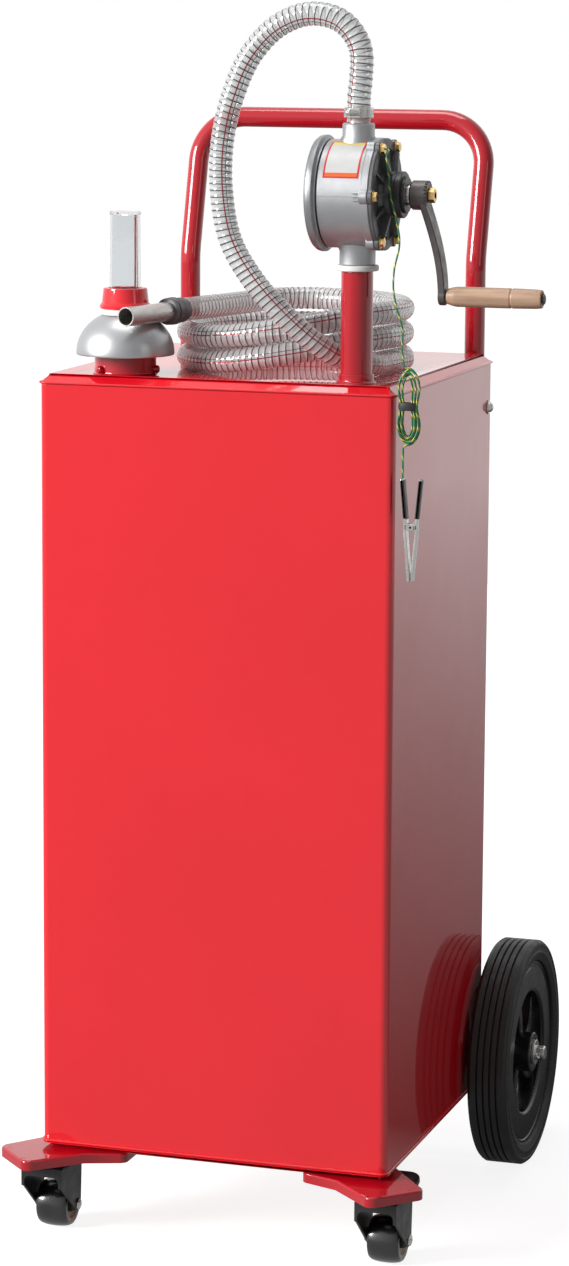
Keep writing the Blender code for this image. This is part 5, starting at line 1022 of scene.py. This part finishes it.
sticker = {"left": -0.0215, "right": 0.0150, "low": 19.0, "high": 73.0, "proud": 0.00018, "border": 0.05,
           "topBand": 0.86, "bottomBand": 0.11}


def makeStickerPrint():
    # two bands and a border, drawn along the sticker's own UV
    material = finishOf(
        "printedSticker", "white_plastic", (0.60, 0.60, 0.59), (0.54, 0.53, 0.52),
        (0.4, 0.30, 0.10, 120, 900, 0.00002))
    tree = material.node_tree
    shader = tree.nodes["Principled BSDF"]
    own = addNode(tree, "UVMap", uv_map="stickerUV").outputs[0]
    across, up = addNode(tree, "SeparateXYZ", {0: own}).outputs[:2]
    plain = shader.inputs["Base Color"].links[0].from_socket
    rims = []
    for place, share in ((across, 1), (up, 0.6)):
        away = mathNode(tree, "ABSOLUTE", mathNode(tree, "SUBTRACT", place, 0.5))
        rims.append(mathNode(tree, "GREATER_THAN", away, 0.5 - sticker["border"] * share))
    top = mathNode(tree, "GREATER_THAN", up, sticker["topBand"])
    low = mathNode(tree, "LESS_THAN", up, sticker["bottomBand"])
    color = mixNode(tree, top, plain, (0.80, 0.62, 0.10, 1))
    color = mixNode(tree, low, color, (0.75, 0.13, 0.02, 1))
    color = mixNode(tree, mathNode(tree, "MAXIMUM", *rims), color, (0.55, 0.02, 0.03, 1))
    plugged(tree, shader, {"Base Color": color})
    return material


def makeSticker():
    # a blank printed sticker that follows the body's curve
    shape = bmesh.new()
    bmesh.ops.create_grid(shape, x_segments=12, y_segments=28, size=0.5)
    flat = shape.loops.layers.uv.new("stickerUV")
    for face in shape.faces:
        for loop in face.loops:
            loop[flat].uv = (loop.vert.co.x + 0.5, loop.vert.co.y + 0.5)
    for vert in shape.verts:
        across, up = vert.co.x + 0.5, vert.co.y + 0.5
        turn = math.radians(sticker["low"] + (sticker["high"] - sticker["low"]) * up)
        radius = pump["body"] + sticker["proud"]
        vert.co = (sticker["left"] + (sticker["right"] - sticker["left"]) * across, -radius * math.cos(turn),
                   radius * math.sin(turn))
    onPump(shape, "pumpSticker", "base", makeStickerPrint())


clamp = {"rise": 0.005, "height": 0.010, "bore": 0.0123, "band": 0.0146, "slots": 26, "firstSlot": -60,
         "slotStep": 12, "slotEnd": 0.0022, "screw": 0.0032, "core": 0.0024, "threads": 8, "pitch": 0.0011,
         "housing": ((-0.0052, -0.0166), (0.0060, -0.0130))}


def makeClamp():
    low = pumpOutlet.z + clamp["rise"]
    high = low + clamp["height"]
    bore, wide, core = clamp["bore"], clamp["band"], clamp["core"]
    band = [(bore, low), *near(wide, low, (-4, 0), (0, 5)), *near(wide, high, (0, -5), (-4, 0)),
            (bore, high)]
    parts = [turned(band, 64)]
    for k in range(clamp["slots"]):
        slot = block((wide - 0.0004, -0.0005, low + clamp["slotEnd"]),
                     (wide + 0.0002, 0.0005, high - clamp["slotEnd"]))
        parts.append(spun(slot, math.radians(clamp["firstSlot"] + clamp["slotStep"] * k), "Z"))
    screw = [(0, -0.0070), (0.0030, -0.0070), (clamp["screw"], -0.0066), (clamp["screw"], -0.0036),
             (core, -0.0034)]
    for k in range(clamp["threads"]):
        screw += [(core, -0.0030 + clamp["pitch"] * k), (core + 0.0005, -0.0025 + clamp["pitch"] * k)]
    screw += [(core, 0.0062), (core - 0.0002, 0.0070), (0, 0.0070)]
    parts.append(moved(turned(screw, 24, "X"), 0, fitGap - wide - clamp["screw"], (low + high) / 2))
    first, last = clamp["housing"]
    parts.append(softened(block((*first, low), (*last, high)), 0.0008, 2))
    kept(moved(joined(*parts), pumpPlace["x"], pumpPlace["y"]), "hoseClamp", "base", zincSteel, "hose_clamp")


makeStandpipe()
makePumpBody()
makeFrontCover()
makeCoverBolts()
makeGland()
makeSticker()
makeClamp()
print("pump made")


# Crank with its turned grip
crank = {"hub": 0.0145, "hubLeft": 0.0555, "hubRight": 0.0730, "throw": 0.0986, "hubSide": 0.0245,
         "eyeSide": 0.0165, "thick": 0.007, "start": 0.066, "end": 0.0885, "eye": 0.009, "nut": 0.0075,
         "stud": 0.0040, "teeth": 24}
grip = {"left": 0.0926, "right": 0.1896, "radius": 0.010, "end": 0.0075, "bore": 0.0040, "groove": 0.68,
        "pin": 0.0032}


def makeCrank():
    left, right = crank["hubLeft"], crank["hubRight"]
    hub = [(0, left), *near(crank["hub"], left, (-16, 0), (0, 18)),
           *near(crank["hub"], right, (0, -22), (-8, -10), (-20, 0)), (0, right)]
    parts = [turned(hub, 72, "X")]
    for k in range(crank["teeth"]):
        tooth = block((right - 0.0024, -0.0009, crank["hub"] - 0.0016),
                      (right, 0.0009, crank["hub"] - 0.0001))
        parts.append(spun(softened(tooth, 0.0003, 1), 2 * math.pi * k / crank["teeth"]))
    rings, thick = [], crank["thick"] / 2
    for k in range(19):
        part = k / 18
        middle = crank["start"] + (crank["end"] - crank["start"]) * math.sin(part * math.pi / 2)
        half = (crank["hubSide"] + (crank["eyeSide"] - crank["hubSide"]) * part) / 2
        down = -crank["throw"] * part
        rings.append([(middle + x, y, down) for x, y in cutCorners(thick, half, 0.001)])
    parts.append(lofted(rings))
    eye = bar(crank["eye"], crank["end"] - thick, crank["end"] + thick, 48, "X", 0.0008)
    parts.append(moved(eye, z=-crank["throw"]))
    onPump(joined(*parts), "crankArm", "crank", armSteel, "crank_arm", smooth=30)
    low, high = right + fitGap, right + 0.0063
    nut = joined(hexagon(crank["nut"], low, high), bar(crank["stud"], low, high, 24, "X", 0.0006))
    onPump(nut, "crankNut", "crank", yellowBrass, "crank_nut")


def makeGrip():
    low, high, wide, end = grip["left"], grip["right"], grip["radius"], grip["end"]
    stop = high + fitGap
    pin = [(0, low - fitGap), (grip["pin"], low - fitGap),
           *near(grip["pin"], stop, (0, 0), (14, 0), (20, 6), (18, 15), (4, 23), (-16, 25)),
           (0, stop + 0.0025)]
    onPump(moved(turned(pin, 32, "X"), z=-crank["throw"]), "gripPin", "crank", armSteel, "grip_pin",
           slot="zinc_steel")
    groove = low + (high - low) * grip["groove"]
    profile = [(grip["bore"], low), *near(end, low, (-10, 0), (0, 8))]
    for k in range(1, 9):
        profile.append((end + (wide - end) * math.sin(math.pi / 2 * k / 8), low + 0.0008 + 0.0110 * k / 8))
    profile += near(wide, groove, (0, -16), (-4, -8), (-8, 0), (-4, 8), (0, 16))
    profile += [*near(wide, high, (-4, -60), (-9, -10), (-17, -1)), *near(end, high, (-12, -3), (-18, -12)),
                *near(grip["bore"], high, (4, -14), (0, -22))]
    shape = moved(turned(profile, 64, "X"), z=-crank["throw"])
    onPump(shape, "woodenGrip", "grip", turnedWood, "wooden_grip", smooth=30)


makeCrank()
makeGrip()
print("crank made")


# Handle and the bolts high on the sides
handle = {"radius": 0.011, "x": 0.163, "y": 0.206, "low": 0.640, "kink": 1.005, "top": 1.154, "lean": 15.0,
          "corner": 0.050, "kinkRadius": 0.080}
sideBolt = {"x": 0.1878, "y": 0.174, "z": 0.851, "washer": 0.0075, "washerThick": 0.0012, "dome": 0.0055,
            "domeHigh": 0.0043}


def makeHandle():
    x, y = handle["x"], handle["y"]
    back = y + (handle["top"] - handle["kink"]) * math.tan(math.radians(handle["lean"]))
    corners = [(-x, y, handle["low"]), (-x, y, handle["kink"]), (-x, back, handle["top"])]
    corners += [(-a, b, c) for a, b, c in corners[::-1]]
    radii = [handle["kinkRadius"], handle["corner"], handle["corner"], handle["kinkRadius"]]
    tube = swept(bentPath(corners, radii, 14), lambda run, turn: handle["radius"], 36)
    ends = [edge for edge in tube.edges if edge.calc_face_angle(0) > 1.2]
    bevelled(tube, ends, 0.0012, 2)
    kept(tube, "handleTube", "base", shadedTubeEnamel, "handle", smooth=60)
    wide, thick = sideBolt["washer"], sideBolt["washerThick"]
    for side, sign in bothSides:
        dome = [(0, 0), (wide, 0), *near(wide, thick, (0, -3), (-3, 0)), (sideBolt["dome"] + 0.0001, thick)]
        for k in range(10):
            turn = math.pi / 2 * k / 9
            dome.append((sideBolt["dome"] * math.cos(turn),
                         thick + 0.0002 + sideBolt["domeHigh"] * math.sin(turn)))
        bolt = facing(turned(dome, 40, "X"), sign)
        kept(moved(bolt, sign * sideBolt["x"], sideBolt["y"], sideBolt["z"]), f"sideBolt{side.title()}",
             "base",
             zincSteel, f"side_bolt_{side}")


makeHandle()
dressed(redEnamel, "handle_saddle_left", "handle_saddle_right", "axle_bracket_left", "axle_bracket_right")
dressed(sightPlastic, "suction_tube")
dressed(zincSteel, "pump_rotor")


# Rear wheels: tyre, spoked rim, axle with its split pins
wheel = {"x": 0.217, "y": 0.2213, "z": 0.125, "radius": 0.125, "width": 0.044, "seat": 0.1013,
         "shoulder": 0.004, "grooves": 4, "grooveDepth": 0.0025, "grooveWidth": 0.0024, "rimWidth": 0.034,
         "opening": 0.067, "hub": 0.022, "hubWidth": 0.045, "spokes": 5, "spokeThick": 0.011,
         "spokeWide": 0.016, "sweep": 26.0, "bore": 0.0085, "race": 0.0213}
axle = {"radius": 0.008, "end": 0.2525, "washers": (0.2398, 0.1917), "washer": 0.0140, "pin": 0.2474,
        "pinWire": 0.0007, "pinEye": 0.0026, "pinFront": 0.0118}


def tyreShape():
    half, rimHalf, radius = wheel["width"] / 2, wheel["rimWidth"] / 2, wheel["radius"]
    shoulder, seat = wheel["radius"] - wheel["shoulder"], wheel["seat"]
    bead = (seat + shoulder) / 2
    side = [*near(seat, -rimHalf, (0, 0), (10, -22), (30, -34)),
            *near(bead, -half, (-18, 6), (-10, 0), (12, 0), (18, 5)),
            *near(shoulder, -half, (-30, 5), (-24, 0), (0, 0), (14, 6)), (radius - 0.0010, -half + 0.0024),
            (radius, -half + wheel["shoulder"])]
    tread = half - wheel["shoulder"]
    profile, gap, deep = list(side), wheel["grooveWidth"] / 2, wheel["grooveDepth"]
    for k in range(wheel["grooves"]):
        x = -tread + 2 * tread * (k + 1) / (wheel["grooves"] + 1)
        profile += [*near(radius, x - gap, (0, 0), (-5, 2)), *near(radius - deep, x, (0, -3), (0, 3)),
                    *near(radius, x + gap, (-5, -2), (0, 0))]
    return turned(profile + mirror(side), 128, "X")


def rimShape(sign):
    half, opening, seat = wheel["rimWidth"] / 2, wheel["opening"], wheel["seat"] - fitGap
    band = [*near(opening, -half, (0, 45), (8, 22), (28, 6), (50, 0)),
            *near(seat, -half, (-60, 0), (-52, 10), (-30, 10), (-20, 0), (0, 0))]
    parts = [turned(band + mirror(band), 128, "X")]
    hubHalf, hub, bore = wheel["hubWidth"] / 2, wheel["hub"], wheel["bore"]
    face = [*near(hub, hubHalf, (0, -14), (-12, 0)), *near(bore, hubHalf, (70, 0), (65, -12), (0, -12))]
    parts.append(turned(mirror(face) + face, 72, "X"))
    start, end = hub - 0.003, opening + 0.003
    for k in range(wheel["spokes"]):
        rings = []
        for station in range(11):
            part = station / 10
            radius = start + (end - start) * part
            turn = math.radians(wheel["sweep"]) * part * part + 2 * math.pi * k / wheel["spokes"]
            along = Vector((0, -math.sin(turn), math.cos(turn)))
            across = Vector((0, math.cos(turn), math.sin(turn)))
            section = cutCorners(wheel["spokeThick"] / 2 * (1 + part * part), wheel["spokeWide"] / 2, 0.0016)
            rings.append([tuple(along * radius + across * a + Vector((b, 0, 0))) for a, b in section])
        parts.append(lofted(rings))
    return facing(joined(*parts), sign)


def splitPin(x):
    # folded wire through the axle, with a round eye in front and spread legs behind
    eye, front = axle["pinEye"], axle["pinFront"]
    loop = []
    for k in range(12, -1, -1):
        turn = math.radians(30 + 300 * k / 12)
        loop.append(Vector((x - eye * math.sin(turn) * 0.5, -front - 0.0024 + eye * math.cos(turn),
                            eye * math.sin(turn))))
    lower, upper = ([Vector((x, -0.0090, sign * 0.0008)), Vector((x, 0.0095, sign * 0.0008)),
                     Vector((x + 0.0008, front, sign * 0.0020))] for sign in (-1, 1))
    return swept(lower[::-1] + loop + upper, lambda run, turn: axle["pinWire"], 10)


def makeWheels():
    y, z = wheel["y"], wheel["z"]
    race = [(0.0086, 0), (0.0142, 0), (0.0142, 0.0008), (0.0128, 0.0010), (0.0122, 0.0004),
            (0.0104, 0.0004), (0.0098, 0.0010), (0.0086, 0.0010)]
    for side, sign in bothSides:
        body, tall, place = f"wheel_{side}", side.title(), (sign * wheel["x"], y, z)
        kept(moved(tyreShape(), *place), f"tyre{tall}", body, tyreRubber, f"tyre_{side}", smooth=28)
        kept(moved(rimShape(sign), *place), f"rim{tall}", body, rimPlastic, f"rim_{side}", smooth=28)
        races = [turned([(r, end * (wheel["race"] + x)) for r, x in race], 56, "X") for end in (-1, 1)]
        kept(moved(joined(*races), *place), f"wheelBearing{tall}", body, zincSteel)
    shaft, end, wide = axle["radius"], axle["end"], axle["washer"]
    parts = [turned([(0, -end), *near(shaft, -end, (-14, 0), (0, 14)),
                     *near(shaft, end, (0, -14), (-14, 0)), (0, end)], 48, "X")]
    for sign in (-1, 1):
        for place in axle["washers"]:
            washer = turned([(shaft, 0), (wide - 0.0004, 0), (wide, 0.0004), (wide, 0.0021),
                             (wide - 0.0004, 0.0025), (shaft, 0.0025)], 48, "X")
            parts.append(moved(facing(washer, sign), sign * place))
        parts.append(splitPin(sign * axle["pin"]))
    kept(moved(joined(*parts), 0, y, z), "axle", "base", zincSteel, "axle")


makeWheels()
print("handle and rear wheels made")


# Corner brackets and casters
bracket = {"top": 0.0947, "sheet": 0.0027, "skirt": 0.0107, "round": 0.0098,
           "points": ((0.186, -0.247), (0.232, -0.200), (0.181, -0.134), (0.096, -0.134), (0.096, -0.185),
                      (0.137, -0.200)),
           "dimples": ((0.1925, -0.2335), (0.2185, -0.2045))}
caster = {"x": 0.182, "y": -0.187, "trail": 0.028, "axle": 0.025, "radius": 0.025, "width": 0.034,
          "ring": 0.0185, "legIn": 0.0197, "legOut": 0.0222, "plate": 0.046, "plateLow": 0.0890,
          "plateHigh": 0.0917, "forkTop": 0.0768, "nut": 0.0062, "stub": 0.0040}
pedal = {"y": 0.034, "z": 0.068, "pin": 0.0022, "loopStart": 0.020, "loopEnd": 0.0565, "tilt": 13.5,
         "drop": 0.0048, "treads": 3, "treadStep": 0.006}


def makeBracket(side, sign):
    outline = roundedOutline(bracket["points"], [bracket["round"]] * 5 + [0], 6)
    outline = [(sign * x, y) for x, y in outline]
    tray = plate(outline, bracket["top"] - bracket["skirt"], bracket["top"])
    rim = [edge for edge in tray.edges if all(v.co.z > bracket["top"] - 0.001 for v in edge.verts)]
    bevelled(tray, rim, 0.0026, 4)
    floor = [face for face in tray.faces if face.normal.z < -0.9]
    bmesh.ops.delete(tray, geom=floor, context="FACES_ONLY")
    kept(tray, f"cornerBracket{side.title()}", "base", shadedTubeEnamel, f"corner_bracket_{side}",
         wall=bracket["sheet"], smooth=40)
    dimples = []
    for x, y in bracket["dimples"]:
        ring = turned([(0.0018, 0), (0.0030, 0.00035), (0.0042, 0)], 24)
        dimples.append(moved(ring, sign * x, y, bracket["top"] - 0.00005))
    kept(joined(*dimples), f"bracketDimples{side.title()}", "base", shadedTubeEnamel)


def forkLeg(end):
    top = caster["forkTop"]
    outline = [(-0.021, top), (-0.0215, 0.058), (0.0175, 0.0245), (0.028, 0.0155), (0.0375, 0.0245),
               (0.040, 0.062), (0.040, 0.071), (0.021, top)]
    outline = roundedOutline(outline, [0, 0.010, 0.003, 0.006, 0.003, 0.004, 0.002, 0], 6)
    low, high = sorted((end * caster["legIn"], end * caster["legOut"]))
    return softened(plate(outline, low, high, "X"), 0.0005, 2)


def forkApron():
    # the folded front of the fork, with its arch over the wheel
    outer, inner, top = caster["legOut"], caster["legIn"] - 0.0008, caster["forkTop"]
    arch = [(-outer, top), (-outer, 0.0560), (-inner, 0.0560), (-inner, 0.0672), (inner, 0.0672),
            (inner, 0.0560), (outer, 0.0560), (outer, top)]
    arch = roundedOutline(arch, [0, 0.0010, 0.0010, 0.0060, 0.0060, 0.0010, 0.0010, 0], 6)
    front = softened(plate(arch, -0.0218, -0.0200, "Y"), 0.0004, 2)
    roof = softened(block((-outer, -0.0216, 0.0752), (outer, 0.0200, top)), 0.0004, 1)
    return joined(front, roof)


def makeFork(side, place):
    tall = side.title()
    square = plate(roundedBox(caster["plate"], caster["plate"], 0.004), caster["plateLow"],
                   caster["plateHigh"])
    square = spun(softened(square, 0.0005, 2), math.pi / 4, "Z")
    race = [(0, 0.0711), (0.0062, 0.0711), (0.0070, 0.0718), (0.0070, 0.0741), (0.0040, 0.0741),
            (0.0040, 0.0780), (0.0205, 0.0780), (0.0216, 0.0788), (0.0220, 0.0805), (0.0220, 0.0862),
            (0.0205, 0.0885), (0.0190, 0.0904), (0, 0.0904)]
    top = joined(square, turned(race, 56))
    kept(moved(top, *place), f"casterPlate{tall}", "base", zincSteel, f"caster_plate_{side}")
    crown = [(0.0044, 0.0747), (0.0246, 0.0747), (0.0257, 0.0752), (0.0260, 0.0760), (0.0258, 0.0770),
             (0.0246, 0.0777), (0.0044, 0.0777)]
    fork = joined(turned(crown, 64), forkLeg(-1), forkLeg(1), forkApron())
    kept(moved(fork, *place), f"casterFork{tall}", f"fork_{side}", blackPlastic, f"caster_fork_{side}")
    nuts = []
    for end in (-1, 1):
        nut = hexagon(caster["nut"], 0, 0.0022, "X", 0.0004)
        stub = bar(caster["stub"], 0, 0.0030, 24, "X", 0.0006)
        nuts.append(moved(facing(joined(nut, stub), end), end * caster["legOut"], caster["trail"],
                          caster["axle"]))
    kept(moved(joined(*nuts), *place), f"casterNuts{tall}", f"fork_{side}", zincSteel)


def makeRoller(side, place):
    body, tall = f"roller_{side}", side.title()
    half, wide, ring = caster["width"] / 2, caster["radius"], caster["ring"]
    tread = [(wide, 0), (wide - 0.0001, half * 0.30), (wide - 0.0006, half * 0.60),
             (wide - 0.0016, half * 0.84), (wide - 0.0030, half * 0.97), (wide - 0.0042, half),
             (ring + 0.0001, half)]
    middle = (place[0], place[1] + caster["trail"], caster["axle"])
    kept(moved(turned(mirror(tread[1:]) + tread, 80, "X"), *middle), f"casterTread{tall}", body, glossRubber,
         f"caster_wheel_{side}")
    face = [*near(ring, half, (0, -50), (0, -4), (-6, 0), (-22, -4), (-32, -34)), (0.0090, half - 0.0044),
            (0.0090, half - 0.0060)]
    rings = [turned([(r, end * x) for r, x in face], 56, "X") for end in (-1, 1)]
    core = [(0.0045, -0.0194), (0.0080, -0.0194), (0.0088, -0.0186), (0.0090, -0.0118)]
    kept(moved(joined(*rings), *middle), f"casterRings{tall}", body, ivoryPlastic)
    kept(moved(turned(core + mirror(core), 40, "X"), *middle), f"casterHub{tall}", body, blackPlastic)


def makePedal(side, place):
    reach = caster["legIn"] - fitGap
    arm = [(-0.0035, -0.0035), (0.007, -0.0068), (0.030, -0.0012), (0.030, 0.0055), (0.007, 0.0023),
           (-0.0035, 0.0035)]
    arm = roundedOutline(arm, [0.0015, 0.003, 0.0010, 0.0010, 0.002, 0.0015], 3)
    arm = softened(plate(arm, -reach, reach, "X"), 0.0008, 2)
    # the foot rest is a rounded loop that rises towards its tip
    start, end = pedal["loopStart"], pedal["loopEnd"]
    loop = roundedOutline([(-reach, start), (reach, start), (reach, end), (-reach, end)],
                          [0.003, 0.003, 0.014, 0.014], 8)
    loop = plate(loop, -0.0028, 0.0028)
    tops = [face for face in loop.faces if abs(face.normal.z) > 0.9]
    bmesh.ops.inset_individual(loop, faces=tops, thickness=0.0058, depth=-0.0018, use_even_offset=True)
    loop = softened(loop, 0.0011, 3, 30)
    tilt = Matrix.Translation((0, 0, -pedal["drop"])) @ Matrix.Rotation(math.radians(pedal["tilt"]), 4, "X")
    grips = [placed(loop, tilt)]
    for k in range(pedal["treads"]):
        low = 0.029 + pedal["treadStep"] * k
        tread = softened(block((-0.012, low, 0.0008), (0.012, low + 0.0025, 0.0026)), 0.0004, 1)
        grips.append(placed(tread, tilt))
    pin = bar(pedal["pin"], -caster["legOut"], caster["legOut"], 20, "X", 0.0003)
    kept(moved(joined(arm, pin, *grips), place[0], place[1] + pedal["y"], pedal["z"]),
         f"brakePedal{side.title()}", f"pedal_{side}", blackPlastic, f"brake_pedal_{side}")


for side, sign in bothSides:
    place = (sign * caster["x"], caster["y"])
    makeBracket(side, sign)
    makeFork(side, place)
    makeRoller(side, place)
    makePedal(side, place)
print("casters made")


# Studio: pale floor, white surroundings and soft lamps
studio = {"floorRadius": 16.0, "shadowBase": 0.87, "matteFloor": 0.36, "frontFloor": 0.55, "backRise": 0.16,
          "fill": 0.17}
lamps = {
    "keyLamp": {"place": (-4.6, -4.1, 3.0), "target": (0, 0, 0.55), "size": (2.6, 2.4), "power": 580},
    "topLamp": {"place": (-0.3, 0.1, 4.2), "target": (0, 0, 0.6), "size": (1.6, 1.6), "power": 40},
    "rightLamp": {"place": (3.4, -1.6, 1.9), "target": (0, 0, 0.8), "size": (0.8, 1.6), "power": 5},
}


def floorMaterial():
    # white to the camera but for the object's shadow; reflections find it dimmer close behind the object
    material = bpy.data.materials.new("studioFloor")
    material.use_nodes = True
    tree = material.node_tree
    tree.nodes.clear()
    matte = addNode(tree, "BsdfDiffuse", {"Color": (studio["matteFloor"],) * 3 + (1,)}).outputs[0]
    place = addNode(tree, "TexCoord").outputs["Object"]
    along = addNode(tree, "SeparateXYZ", {0: place}).outputs[1]
    length = addNode(tree, "VectorMath", {0: place}, operation="LENGTH").outputs["Value"]
    beyond = mathNode(tree, "MULTIPLY_ADD", length, 0.6, -0.6, clamp=True)
    lift = mathNode(tree, "MULTIPLY_ADD", beyond, 1 - studio["shadowBase"], studio["shadowBase"])
    base = addNode(tree, "Emission", {"Strength": lift}).outputs[0]
    seen = addNode(tree, "AddShader", {0: matte, 1: base}).outputs[0]
    away = mathNode(tree, "MULTIPLY", length, studio["backRise"], clamp=True)
    behind = mathNode(tree, "MULTIPLY_ADD", along, 2.0, 0.5, clamp=True)
    front = mathNode(tree, "MULTIPLY", mathNode(tree, "SUBTRACT", 1, behind), studio["frontFloor"])
    glow = mathNode(tree, "MULTIPLY_ADD", behind, away, front)
    mirrored = addNode(tree, "Emission", {"Strength": glow}).outputs[0]
    path = addNode(tree, "LightPath").outputs
    shown = mathNode(tree, "MAXIMUM", path["Is Camera Ray"], path["Is Transmission Ray"])
    hidden = addNode(tree, "MixShader", {0: path["Is Glossy Ray"], 1: matte, 2: mirrored}).outputs[0]
    whole = addNode(tree, "MixShader", {0: shown, 1: hidden, 2: seen}).outputs[0]
    addNode(tree, "OutputMaterial", {"Surface": whole})
    return material


def makeFloor():
    disc = bmesh.new()
    bmesh.ops.create_circle(disc, cap_ends=True, segments=128, radius=studio["floorRadius"])
    mesh = bpy.data.meshes.new("floor")
    disc.to_mesh(mesh)
    disc.free()
    mesh.materials.append(floorMaterial())
    floor = bpy.data.objects.new("floor", mesh)
    stageObjects.link(floor)


def makeWorld():
    world = bpy.data.worlds.new("studioWorld")
    bpy.context.scene.world = world
    world.use_nodes = True
    tree = world.node_tree
    tree.nodes.clear()
    path = addNode(tree, "LightPath").outputs
    place = addNode(tree, "TexCoord").outputs["Generated"]
    across, along = addNode(tree, "SeparateXYZ", {0: place}).outputs[:2]
    # reflections find white behind and to the left, and a dimmer room in front and to the right
    side = mathNode(tree, "MULTIPLY_ADD", across, -0.50, 0.72)
    back = mathNode(tree, "MULTIPLY", mathNode(tree, "MAXIMUM", along, 0), 0.8)
    room = mathNode(tree, "ADD", side, back, clamp=True)
    shown = mathNode(tree, "MAXIMUM", path["Is Camera Ray"], path["Is Transmission Ray"])
    glossy = mathNode(tree, "MULTIPLY", path["Is Glossy Ray"], room)
    lit = mathNode(tree, "MAXIMUM", mathNode(tree, "MAXIMUM", shown, glossy), studio["fill"])
    glow = addNode(tree, "Background", {"Color": (1, 1, 1, 1), "Strength": lit}).outputs[0]
    addNode(tree, "OutputWorld", {"Surface": glow})


def softLamp(name, place, target, size, power):
    data = bpy.data.lights.new(name, "AREA")
    data.shape = "RECTANGLE"
    data.size, data.size_y = size
    data.energy = power
    lamp = bpy.data.objects.new(name, data)
    stageObjects.link(lamp)
    lamp.location = tankCentre + Vector(place)
    lamp.rotation_euler = (Vector(target) - Vector(place)).to_track_quat("-Z", "Y").to_euler()


makeFloor()
makeWorld()
for label, lamp in lamps.items():
    softLamp(label, **lamp)
bpy.context.scene.view_settings.view_transform = "Standard"
print("studio made")
